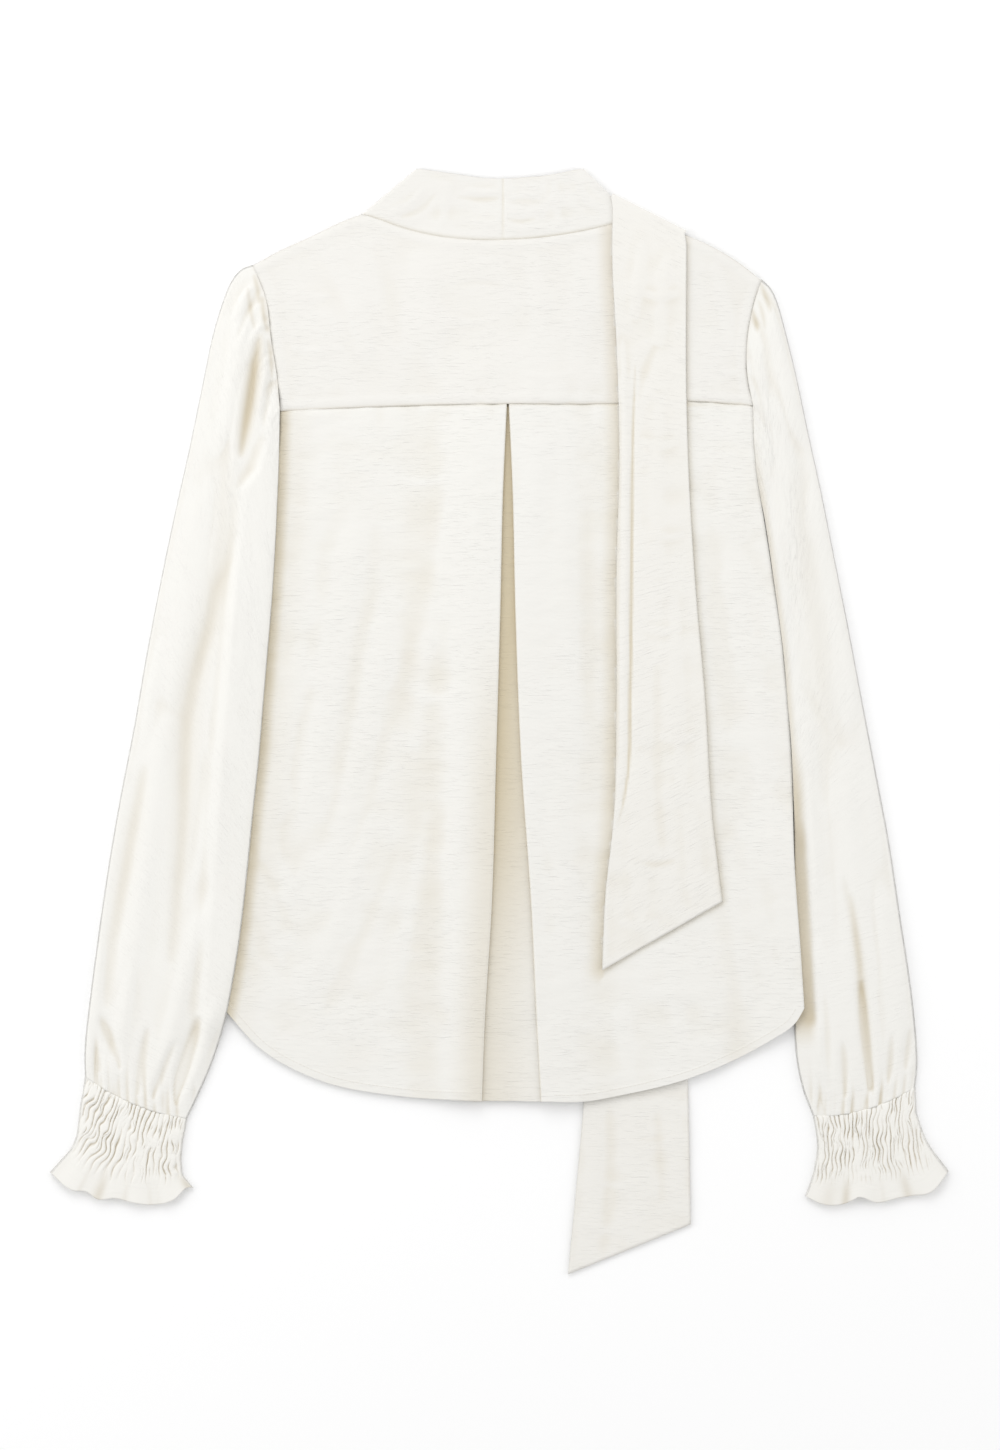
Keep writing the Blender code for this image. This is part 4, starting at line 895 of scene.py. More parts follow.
pleat_at = smooth_between(
    np.column_stack([PLEAT_LEFT_X, PLEAT_RIGHT_X, PLEAT_LEFT_DEPTH, PLEAT_RIGHT_DEPTH]).astype(float),
    pleat_down, -pleat_y,
)
pleat_left_x, pleat_right_x, pleat_left_depth, pleat_right_depth = pleat_at.T


def back_half(seam, hem, armhole, side, fold_x, columns, mirrored):
    """One outer half of the back as a plan grid, running from left to right."""
    outline = joined_curve((armhole, side), (20, 90))
    steps = np.concatenate([[0], np.cumsum(np.hypot(*np.diff(outline, axis=0).T))])
    edge = np.stack([np.interp(back_rows * steps[-1], steps, outline[:, k]) for k in (0, 1)], axis=1)
    fold = np.stack([fold_x, pleat_y], axis=1)
    edge[:, 0] += ARMHOLE_SHOWN if mirrored else -ARMHOLE_SHOWN
    top = smooth_curve(seam, np.linspace(0, 1, columns)) - (0, SEAM_SHOWN)
    bottom = smooth_curve(hem, np.linspace(0, 1, columns))
    near, far = (0, -1) if mirrored else (-1, 0)
    top[far], edge[-1] = edge[0], bottom[far]
    fold[-1, 1] = bottom[near, 1]
    top[near], bottom[near] = fold[0], fold[-1]
    left, right = (fold, edge) if mirrored else (edge, fold)
    return patch(top, bottom, left, right, back_rows)


turn_out, turn_up = fold_arc(FOLD_STEP / 2, 5)
turn_up = turn_up / FOLD_STEP
edge_inset = WALL / 2
turn_inset = edge_inset + FOLD_STEP / 2
half_columns = HALF_COLUMNS
left_half = back_half(
    YOKE_SEAM_LEFT, HEM_LEFT, ARMHOLE_LEFT_BACK, SIDE_LEFT, pleat_left_x - turn_inset, half_columns, False
)
right_half = back_half(
    YOKE_SEAM_RIGHT, HEM_RIGHT, ARMHOLE_RIGHT_BACK, SIDE_RIGHT, pleat_right_x + turn_inset, half_columns, True
)


def folded_column(x, level):
    """One column of the pleat: its place across, at a layer counted from 0 for the underlay."""
    share = np.clip((x - pleat_left_x) / np.maximum(pleat_right_x - pleat_left_x, 1), 0, 1)
    y = left_half[:, -1, 1] + (right_half[:, 0, 1] - left_half[:, -1, 1]) * share
    return np.stack([x, y, back_rest(x, y) + WALL / 2 + level * FOLD_STEP], axis=1)


pleat_columns = []
for out, up in zip(turn_out[::-1], turn_up[::-1]):
    pleat_columns.append(folded_column(pleat_left_x - edge_inset - out, 1.5 + up))
for share in np.linspace(0.1, 0.9, 6):
    pleat_columns.append(folded_column(pleat_left_x - turn_inset - share * (pleat_left_depth - 3), 1))
for out, up in zip(turn_out[::-1], turn_up[::-1]):
    pleat_columns.append(folded_column(pleat_left_x - pleat_left_depth + edge_inset + out, 0.5 + up))
first_underlay = len(pleat_columns)
for share in np.linspace(0.06, 0.94, 24):
    from_x, to_x = pleat_left_x - pleat_left_depth, pleat_right_x + pleat_right_depth
    pleat_columns.append(folded_column(from_x * (1 - share) + to_x * share, 0))
last_underlay = len(pleat_columns)
for out, up in zip(turn_out, turn_up):
    pleat_columns.append(folded_column(pleat_right_x + pleat_right_depth - edge_inset - out, 0.5 + up))
for share in np.linspace(0.9, 0.1, 6):
    pleat_columns.append(folded_column(pleat_right_x + turn_inset + share * (pleat_right_depth - 3), 1))
for out, up in zip(turn_out, turn_up):
    pleat_columns.append(folded_column(pleat_right_x + edge_inset + out, 1.5 + up))
pleat_grid = np.stack(pleat_columns, axis=1)

hem_line = joined_curve((HEM_LEFT, HEM_RIGHT), (30, 30))


def back_relief(plan):
    """Creases of the back's outer layer: none at the yoke seam, and waves along the hem."""
    x, y = plan[..., 0], plan[..., 1]
    relief = creases(x, y, BACK_CREASES) + 0.35 * drift(x, y, 30, 22, 7) + 0.15 * drift(x, y, 11, 7, 8)
    to_seam = 222 - y
    puckers = 0.3 * drift(x, y, 8, 40, 9) * fade(to_seam, 3, 30)
    to_hem = nearest_on(x, y, hem_line)[0]
    waves = 0.4 * (1 + drift(x, y, 26, 60, 10)) * fade(to_hem, 4, 30)
    return relief * np.clip(to_seam / 6, 0, 1) + puckers + waves - 0.25 * np.exp(-((to_seam / 1.2) ** 2))


def outer_half(plan):
    height = outer_back_rest(plan[..., 0], plan[..., 1]) + WALL / 2
    return with_height(plan, height + np.maximum(back_relief(plan), -0.45))


outer_left, outer_right = outer_half(left_half), outer_half(right_half)
fold_share = np.clip(np.arange(half_columns) / 5, 0, 1)
outer_left[..., 2] = (
    outer_left[..., 2] * fold_share[::-1]
    + (1 - fold_share[::-1]) * (outer_back_rest(left_half[..., 0], left_half[..., 1]) + WALL / 2)
)
outer_right[..., 2] = (
    outer_right[..., 2] * fold_share
    + (1 - fold_share) * (outer_back_rest(right_half[..., 0], right_half[..., 1]) + WALL / 2)
)
back_middle = np.concatenate([outer_left, pleat_grid, outer_right], axis=1)
back_middle[0] += (0, 0.9, -0.6)
from_hem = nearest_on(back_middle[..., 0], back_middle[..., 1], hem_line)[0]
back_thickness = CLOTH + 0.35 * fade(from_hem, HEM_WIDTH - 0.5, HEM_WIDTH)
back_thickness[:, half_columns - 2 : -half_columns + 2] = CLOTH

SLEEVE_INNER_EDGE = (
    (-153.5, 217), (-153.8, 197), (-154.3, 176), (-155.3, 151), (-156.7, 121), (-158.9, 85),
    (-162, 48), (-165, 12), (-168, -25), (-172, -63), (-176, -104), (-181, -148), (-187, -186), (-193, -214),
)
sleeve_line = np.array(SLEEVE_INNER_EDGE, float)


def back_shade(middle):
    """How deep in shade the outer halves lie: in their creases, beside the tie and the sleeve."""
    x, y = middle[..., 0], middle[..., 1]
    from_sleeve = x - np.interp(-y, -sleeve_line[:, 1], sleeve_line[:, 0])
    # Painted shade in the creases and along the yoke seam, and painted shadows beside the sleeve and the tie.
    painted_crease_shade = 0.3 * hollow(middle[..., 2], 40, 1.0)
    seam = 0.2 * np.exp(-(((222 - y) / 1.3) ** 2))
    painted_sleeve_shadow = 0.6 * fade(from_sleeve, 2, 10) + 0.12 * fade(from_sleeve, 8, 30)
    return np.clip(painted_crease_shade + seam + np.maximum(painted_sleeve_shadow, beside_tie(x, y)), 0, 1)


# Painted shade in the pleat: darkest in the underlay high up and at its left, lighter towards the hem, and
# over the left fold's roll lower down.
underlay_x = pleat_grid[:, first_underlay:last_underlay, 0]
opening = np.maximum(pleat_right_x - pleat_left_x, 3)[:, None]
from_left = np.clip((underlay_x - pleat_left_x[:, None]) / opening, 0, 1)
high_up = fade(-pleat_y, 0, 215)[:, None]
underlay_shade = high_up * (1.05 - 0.35 * from_left * fade(pleat_y, -20, 120)[:, None])
underlay_shade += (1 - high_up) * (0.44 - 0.4 * from_left)
pleat_shade = np.full(pleat_grid.shape[:2], 0.8)
pleat_shade[:, first_underlay:last_underlay] = underlay_shade
pleat_shade[:, :2] = 0.2
pleat_shade[:, -2:] = 0.2
left_shade = back_shade(outer_left)
roll = fade(left_half[:, -1:, 0] - left_half[..., 0], 0, 26) * fade(pleat_y, -60, 90)[:, None]
left_shade = np.clip(left_shade + 0.34 * roll, 0, 1)
back_painted_shade = np.concatenate([left_shade, np.clip(pleat_shade, 0, 1), back_shade(outer_right)], axis=1)
back_cloth = make_cloth_material("back_satin", (0.845, 0.835, 0.8), (0.62, 0.54, 0.385), 0.13, 0.75)
back = add_sheet("back_panel_cloth", back_middle, back_thickness, back_middle[..., :2], back_painted_shade, back_cloth)
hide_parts("back_panel")

# Hem stitches of the back
# One row of lockstitch thread, 5 mm above the hem's edge, each stitch about 2.4 mm long and
# sunk half into the cloth.
STITCH_PITCH = 2.8
STITCH_LENGTH = 2.3
STITCH_RADIUS = 0.16
STITCH_INSET = 5.0
STITCH_PROFILE = ((0, 0.35), (0.12, 0.85), (0.35, 1), (0.65, 1), (0.88, 0.85), (1, 0.35))


def stitch_row(line):
    """Threads along a line of points on the cloth: one stitch every STITCH_PITCH, each a small
    rounded rod whose radius follows STITCH_PROFILE along it."""
    steps = np.linalg.norm(np.diff(line, axis=0), axis=1)
    along = np.concatenate([[0], np.cumsum(steps)])
    starts = np.arange(2, along[-1] - STITCH_LENGTH - 2, STITCH_PITCH)
    share, size = np.array(STITCH_PROFILE).T
    at = starts[:, None] + share * STITCH_LENGTH
    centre = np.stack([np.interp(at, along, line[:, k]) for k in range(3)], axis=-1)
    run = centre[:, -1] - centre[:, 0]
    run /= np.linalg.norm(run, axis=1, keepdims=True)
    aside = np.cross(run, (0, 0, 1))
    turns = np.linspace(0, 2 * np.pi, 7)[:-1]
    radius = STITCH_RADIUS * size[None, :, None, None]
    rings = centre[:, :, None] + radius * (
        np.cos(turns)[:, None] * aside[:, None, None] + np.sin(turns)[:, None] * np.array((0, 0, 1.0))
    )
    points = rings.reshape(-1, 3)
    one = grid_quads(len(share), len(turns), True)
    lift = np.arange(len(starts))[:, None, None] * (len(share) * len(turns))
    quads = (one[None] + lift).reshape(-1, 4)
    ends = []
    for ring in (0, len(share) - 1):
        first = ring * len(turns)
        ends += [(first, first + 1, first + 2, first + 3), (first, first + 3, first + 4, first + 5)]
    ends = np.array(ends)
    ends[:2] = ends[:2, ::-1]
    caps = (ends[None] + lift).reshape(-1, 4)
    return points, np.concatenate([quads, caps])


def hem_stitch_line(outer):
    """The line on top of one outer half that lies STITCH_INSET above the hem."""
    distance = nearest_on(outer[..., 0], outer[..., 1], hem_line)[0]
    row = np.argmin(np.abs(distance[-60:] - STITCH_INSET), axis=0) + len(outer) - 60
    line = outer[row, np.arange(outer.shape[1])]
    return line + (0, 0, CLOTH / 2 + 0.2)


thread = bpy.data.materials.new("sewing_thread")
thread.use_nodes = True
thread_shader = thread.node_tree.nodes["Principled BSDF"]
thread_shader.inputs["Roughness"].default_value = 0.55
thread_place = add_node(thread.node_tree, "ShaderNodeTexCoord", -700, 0)
thread_twist = add_node(thread.node_tree, "ShaderNodeTexNoise", -500, 0)
thread_twist.inputs["Scale"].default_value = 2500
thread_tones = add_node(thread.node_tree, "ShaderNodeValToRGB", -300, 0)
thread_tones.color_ramp.elements[0].color = (0.7, 0.67, 0.6, 1)
thread_tones.color_ramp.elements[1].color = (0.86, 0.84, 0.8, 1)
thread.node_tree.links.new(thread_place.outputs["Object"], thread_twist.inputs["Vector"])
thread.node_tree.links.new(thread_twist.outputs["Fac"], thread_tones.inputs["Fac"])
thread.node_tree.links.new(thread_tones.outputs["Color"], thread_shader.inputs["Base Color"])
stitches = [stitch_row(hem_stitch_line(outer)) for outer in (outer_left[:, 3:-3], outer_right[:, 3:-3])]
stitch_points = np.concatenate([points for points, _ in stitches])
stitch_quads = np.concatenate([stitches[0][1], stitches[1][1] + len(stitches[0][0])])
hem_stitches = add_cloth(
    "hem_stitches", stitch_points, stitch_quads, stitch_points[:, :2], np.zeros(len(stitch_points)), thread
)

# Thrown tie end
# The other end of the doubled tie leaves the centre front, goes over the right shoulder and
# lies down the back. It flares to a slanted end, and its left edge is rolled under.
THROWN_ROWS = 250
THROWN_CREASES = (
    (3.2, 1.0, (86, 268), (88, 225), (88, 150), (87, 60), (86, -20), (83, -70)),
    (1.6, -0.9, (95, 250), (93.5, 200), (92.5, 120), (91.5, 20), (89, -45), (83, -72)),
    (5, -0.6, (109, 264), (102, 245), (96, 222)),
    (6, 0.7, (118, 330), (114, 300), (112, 262)),
    (5, 0.6, (100, 340), (98, 315), (94, 280)),
    (7, 0.5, (112, 230), (110, 170), (112, 100)),
    (6, 0.5, (122, 90), (124, 20), (128, -60)),
    (6, -0.45, (110, 40), (111, -30), (114, -90)),
    (8, 0.6, (98, -20), (98, -80), (98, -140)),
    (6, 0.5, (134, -60), (136, -100), (138, -128)),
    (3, 0.4, (100, 300), (112, 297), (126, 300)),
    (3, 0.35, (98, 196), (112, 193), (126, 196)),
    (2.5, 0.35, (104, 132), (118, 129), (130, 131)),
    (3, 0.35, (100, 66), (114, 63), (128, 66)),
    (3, 0.35, (112, -10), (126, -13), (138, -10)),
    (3, -0.3, (92, -96), (108, -100), (124, -97)),
    (3, 0.35, (84, -140), (98, -143), (112, -140)),
)


def over_back(x, y):
    """The height of the underside of what lies on the back."""
    return outer_back_rest(x, y) + WALL + TIE_REST_GAP


tie_fold_ends = np.array((TIE_FOLD_LEFT, TIE_FOLD_RIGHT))
fold_line = tie_fold_ends[0] + tie_columns[:, None] * (tie_fold_ends[1] - tie_fold_ends[0])
thrown_under = np.stack([
    np.column_stack([fold_line - np.array(TIE_RUN) * d, np.full(len(fold_line), TIE_WALL / 2)])
    for d in np.linspace(TIE_RUN_LENGTH, 8, 50)
])
thrown_ends = tie_rows(TIE_OVER_LEFT, TIE_OVER_RIGHT, np.linspace(0.02, 1, THROWN_ROWS))
thrown_plan = thrown_ends[:, :1] + tie_columns[:, None] * (thrown_ends[:, 1:] - thrown_ends[:, :1])
thrown_x, thrown_y = thrown_plan[..., 0], thrown_plan[..., 1]
thrown_height = over_back(thrown_x, thrown_y) + TIE_WALL / 2
thrown_relief = creases(thrown_x, thrown_y, THROWN_CREASES) + 0.25
thrown_relief += 0.25 * drift(thrown_x, thrown_y, 22, 15, 11)
thrown_height += np.maximum(thrown_relief, -0.5) * fade(-np.arange(THROWN_ROWS)[:, None], -14, -2)
thrown_top = over_back(fold_line[:, 0], fold_line[:, 1]) + TIE_WALL / 2
turn_radius = (thrown_top - TIE_WALL / 2) / 2
fold_run = (tie_fold_ends[1] - tie_fold_ends[0]) / np.hypot(*(tie_fold_ends[1] - tie_fold_ends[0]))
fold_inward = np.array((fold_run[1], -fold_run[0]))
thrown_turn = []
for angle in np.radians(np.linspace(-90, 90, 13)):
    out = TIE_WALL / 2 + turn_radius * (1 - np.cos(angle))
    level = TIE_WALL / 2 + turn_radius * (1 + np.sin(angle))
    thrown_turn.append(np.column_stack([fold_line + fold_inward * out[:, None], level]))
thrown_middle = np.concatenate([thrown_under, np.stack(thrown_turn), with_height(thrown_plan, thrown_height)])
# Painted shade in the thrown tie's creases, none on the part under the fronts and in its turn.
thrown_painted_shade = 0.7 * hollow(thrown_middle[..., 2], 6, 0.45)
thrown_painted_shade[: len(thrown_under) + 6] = 0
thrown_thickness = np.broadcast_to(TIE_WALL - 0.3 + 0.7 * edge_roll, thrown_middle.shape[:2])
down_tie = np.concatenate([[0], np.cumsum(np.linalg.norm(np.diff(thrown_middle[:, 22], axis=0), axis=1))])
thrown_flat = np.stack([
    tie_columns[None] * np.hypot(*(thrown_middle[:, -1, :2] - thrown_middle[:, 0, :2]).T)[:, None],
    np.broadcast_to(-down_tie[:, None], thrown_middle.shape[:2]),
], axis=-1)
thrown_tie = add_sheet(
    "tie_over_shoulder_cloth", thrown_middle, thrown_thickness, thrown_flat, thrown_painted_shade, tie_cloth
)
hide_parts("tie_over_shoulder")

# Sleeves
# Two full sleeves of the satin, each one tube: gathered into the armhole, puffed along its
# length and gathered into the cuff. The left one lies over the body's side, and the right
# one's lower inner edge is tucked under it.
TUBE_WALL = 0.6
SLEEVE_RINGS = 250
SLEEVE_TOP_POINTS = 84
SLEEVE_LOW_POINTS = 22
SLEEVE_COLUMNS = ("outer_x", "outer_y", "inner_x", "inner_y", "bow", "sag", "hollow")
SLEEVE_LEFT = (
    (-172.5, 319.5, -153.5, 217, 1.00, 0, 0.4),
    (-181, 316, -153.8, 197, 0.85, 0, 1.6),
    (-188, 307, -154.3, 176, 0.68, 0, 2.6),
    (-194, 292, -155.3, 151, 0.52, 0, 3.2),
    (-201, 268, -156.7, 121, 0.38, 0, 3.4),
    (-209, 229, -158.9, 85, 0.27, 0, 3.4),
    (-218, 186, -162, 48, 0.18, 0, 3.4),
    (-227, 146, -165, 12, 0.11, 0, 3.4),
    (-237, 98, -168, -25, 0.06, 0, 3.4),
    (-247, 46, -172, -63, 0.02, 0, 3.4),
    (-256, -6, -176, -104, 0, 0, 3.4),
    (-265, -52, -181, -148, 0, 2, 3.4),
    (-273, -98, -187, -186, 0, 3, 3.4),
    (-280, -145, -193, -214, 0, 4, 3.2),
    (-286, -190, -201, -239, 0, 5, 2.8),
    (-290, -226, -210, -260, 0, 5, 1.8),
    (-290, -249, -218.5, -278, 0, 5, 0.8),
)
SLEEVE_RIGHT = (
    (183.5, 309.5, 180.5, 170, 1.00, 0, 0.4),
    (190, 303, 183, 155, 0.95, 0, 1.6),
    (195, 292, 186.2, 138, 0.85, 0, 2.6),
    (201, 270, 189.2, 118, 0.72, 0, 3.2),
    (208, 241, 192.6, 94, 0.55, 0, 3.4),
    (216, 203, 196.1, 68, 0.40, 0, 3.4),
    (225, 162, 199.4, 40, 0.27, 0, 3.4),
    (234, 117, 201.6, 12, 0.16, 0, 3.4),
    (244, 67, 203.9, -17, 0.08, 0, 3.4),
    (254, 14, 205.2, -48, 0.02, 0, 3.4),
    (264, -38, 206, -84, 0, 0, 3.4),
    (273, -86, 206, -121, 0, 2, 3.4),
    (281, -139, 206, -160, 0, 3, 3.4),
    (287, -178, 206, -198, 0, 4, 3.2),
    (291, -212, 207.5, -232, 0, 5, 2.8),
    (292.5, -238, 212, -256, 0, 6, 1.8),
    (291, -256, 219.5, -276, 0, 6, 0.8),
)
SLEEVE_LEFT_FOLDS = (
    (-176, 300, -196, 180, 7, 2.0),
    (-164, 285, -170, 190, 5, 1.6),
    (-176, 255, -200, 90, 8, 1.8),
    (-205, 175, -232, 0, 12, 1.6),
    (-180, 120, -205, -110, 13, 1.8),
    (-232, 20, -262, -200, 10, 1.8),
    (-205, -120, -243, -270, 7, 2.0),
    (-252, -140, -272, -262, 6, 1.8),
    (-195, -190, -224, -276, 6, 1.8),
    (-280, -150, -287, -248, 5, 1.6),
)
SLEEVE_RIGHT_FOLDS = (
    (186, 300, 212, 190, 7, 2.0),
    (178, 280, 192, 170, 5, 1.6),
    (188, 240, 218, 90, 9, 1.8),
    (212, 170, 240, -10, 13, 1.6),
    (214, 20, 222, -150, 10, 1.8),
    (238, -20, 258, -200, 10, 1.8),
    (214, -150, 232, -268, 7, 2.0),
    (250, -120, 263, -262, 6, 1.8),
    (268, -110, 283, -250, 8, 1.8),
)
SLEEVE_LEFT_CREASES = (
    (4.5, -2.2, (-168, 268), (-174, 235), (-181, 184)),
    (7, -1.4, (-189, 198), (-191, 176), (-199, 82), (-216, 19), (-221, -76), (-230, -170)),
    (7, -1.3, (-247, -29), (-256, -76), (-270, -155), (-275, -202)),
    (4, -1.6, (-265, -244), (-272, -222), (-280, -206)),
    (3.5, -1.5, (-243, -265), (-235, -244), (-227, -224)),
    (5, -2.4, (-228, -269), (-219, -240), (-209, -206)),
    (3.5, -1.2, (-252, -262), (-250, -238), (-246, -214)),
    (3, -1.0, (-280, -246), (-283, -226), (-285, -208)),
    (3, 0.8, (-170, 310), (-178, 296), (-186, 280)),
    (2.5, -0.8, (-167, 303), (-176, 286), (-184, 266)),
    (3, 0.8, (-163, 290), (-170, 272), (-176, 250)),
    (2.5, 0.8, (-160, 262), (-164, 240), (-168, 214)),
    (2.5, -0.7, (-157, 250), (-161, 228), (-165, 206)),
    (4, 0.7, (-182, 130), (-186, 90), (-188, 50)),
    (5, 0.6, (-236, 60), (-243, 20), (-250, -20)),
    (4, -0.6, (-206, -20), (-210, -60), (-216, -110)),
)
SLEEVE_RIGHT_CREASES = (
    (3, -1.2, (183, 307), (187, 298), (190, 288)),
    (3, -1.2, (177, 287), (179, 281), (181, 274)),
    (5, -1.6, (241, -108), (248, -142), (252, -169), (256, -214), (261, -259)),
    (4, -2.4, (253, -180), (256, -214), (261, -262)),
    (4.5, -1.5, (223, -175), (227, -205), (231, -259)),
    (3.5, -1.3, (284, -244), (286, -228), (288, -214)),
    (3.5, -1.2, (243, -264), (242, -244), (240, -224)),
    (3, -1.0, (272, -254), (274, -236), (275, -218)),
    (7, -1.0, (206, 220), (216, 140), (230, 50), (240, -20)),
    (7, -0.9, (198, 130), (210, 60), (222, 0), (228, -60)),
    (7, -0.9, (262, 20), (270, -50), (274, -120), (277, -180)),
    (3, 0.8, (186, 296), (194, 276), (200, 252)),
    (3, 0.7, (178, 262), (184, 236), (190, 208)),
    (2.5, -0.7, (176, 250), (181, 228), (186, 200)),
    (4, 0.7, (236, 80), (244, 40), (250, 0)),
    (4, 0.7, (216, -40), (219, -80), (222, -120)),
)

# Painted shade along the sleeves' troughs and gathers: half width, amount and the points of each line.
SLEEVE_LEFT_SHADE = (
    (4.5, 0.8, (-167, 272), (-172, 240), (-181, 184)),
    (1.8, 0.5, (-172, 313), (-169, 302), (-168, 292)),
    (1.8, 0.55, (-166, 298), (-165, 286), (-162, 272)),
    (1.6, 0.45, (-162, 268), (-160, 256), (-159, 240)),
    (1.8, 0.4, (-176, 304), (-174, 288), (-171, 274)),
    (8, 0.22, (-189, 198), (-199, 82), (-216, 19), (-221, -76), (-230, -170)),
    (6, 0.16, (-247, -29), (-256, -76), (-270, -155)),
)
SLEEVE_RIGHT_SHADE = (
    (1.8, 0.5, (183, 307), (186, 298), (190, 286)),
    (1.8, 0.5, (177, 289), (179, 281), (181, 272)),
    (1.6, 0.35, (181, 296), (184, 286), (186, 274)),
    (3.2, 0.5, (246, -120), (252, -169), (256, -214), (260, -258)),
    (7, 0.14, (206, 180), (216, 100), (226, 30), (232, -40)),
)


def sections(table, columns, count):
    """The named columns of a table of sections, read smoothly at count even steps along it."""
    table = np.array(table, float)
    read = smooth_between(table, np.arange(len(table)), np.linspace(0, len(table) - 1, count))
    return dict(zip(columns, read.T))


def line_between(outer_end, inner_end, sag):
    """Plan points across each ring: a straight line between its ends that sags towards the cuff."""

    def plan_at(fractions):
        t = fractions[..., None]
        points = outer_end[:, None] + (inner_end - outer_end)[:, None] * t
        return points - np.array((0, 4)) * sag[:, None, None] * t * (1 - t)

    return plan_at


def add_flat_tube(
    name, plan_at, lengths, down, upper, lower, rest, plain_top, relief, thickness, shade, material
):
    """A flattened tube of cloth: each ring runs over its top and back along its underside, with
    rounded edges. The inner surface lies one thickness inside the outer one."""
    wall_share = WALL / lengths[:, None]
    edge_share = 1.2 * wall_share
    zero = np.zeros((len(lengths), 1))
    top_at = edge_share + (1 - 2 * edge_share) * upper[None]
    low_at = edge_share + (1 - 2 * edge_share) * lower[None]
    outer_at = np.concatenate([zero, top_at, zero + 1, low_at], axis=1)
    inner_at = 0.5 + (outer_at - 0.5) * (1 - wall_share * 1.4)
    is_top = np.concatenate([[False], np.ones(len(upper), bool), [False], np.zeros(len(lower), bool)])
    is_edge = np.zeros(len(is_top), bool)
    is_edge[[0, len(upper) + 1]] = True
    outer_plan, inner_plan = plan_at(outer_at), plan_at(inner_at)
    ground, top = rest(outer_at, outer_plan), plain_top(outer_at, outer_plan)
    raised = relief(outer_at, outer_plan)
    edge_height = WALL + SEAM_GAP / 2
    outer_z = np.where(is_edge, ground + edge_height, np.where(is_top, top + raised, ground))
    ground_in = rest(inner_at, inner_plan)
    under_top = plain_top(inner_at, inner_plan) + raised * 0.94 - thickness
    inner_z = np.where(is_top, under_top, ground_in + thickness)
    inner_z = np.maximum(inner_z, ground_in + thickness + 0.1 * is_top)
    inner_z = np.where(is_edge, ground_in + edge_height, inner_z)
    outer, inner = with_height(outer_plan, outer_z), with_height(inner_plan, inner_z)
    rows, columns = outer.shape[:2]
    count = rows * columns
    around = grid_quads(rows, columns, True)
    ring = np.arange(columns)
    beside = np.roll(ring, -1)
    last = (rows - 1) * columns
    first_rim = np.stack([beside, ring, ring + count, beside + count], axis=1)
    last_rim = np.stack([ring, beside, beside + count, ring + count], axis=1) + last
    quads = np.concatenate([around, around[:, ::-1] + count, first_rim, last_rim])
    flat = np.stack([outer_at * lengths[:, None], np.broadcast_to(-down[:, None], outer_at.shape)], axis=-1)
    flat = np.where(is_top[None, :, None], flat, flat + (1000, 0))
    # Painted shade: the top points take it from shade, and the inner surface a fixed amount.
    fold = np.zeros(outer_at.shape)
    tops = np.flatnonzero(is_top)
    fold[:, tops] = shade(outer_at[:, tops], outer[:, tops])
    fold = np.concatenate([fold.ravel(), np.full(count, 0.2)])
    points = np.concatenate([outer.reshape(-1, 3), inner.reshape(-1, 3)])
    flat = np.tile(flat.reshape(-1, 2), (2, 1))
    return add_cloth(name, points, quads, flat, fold, material)


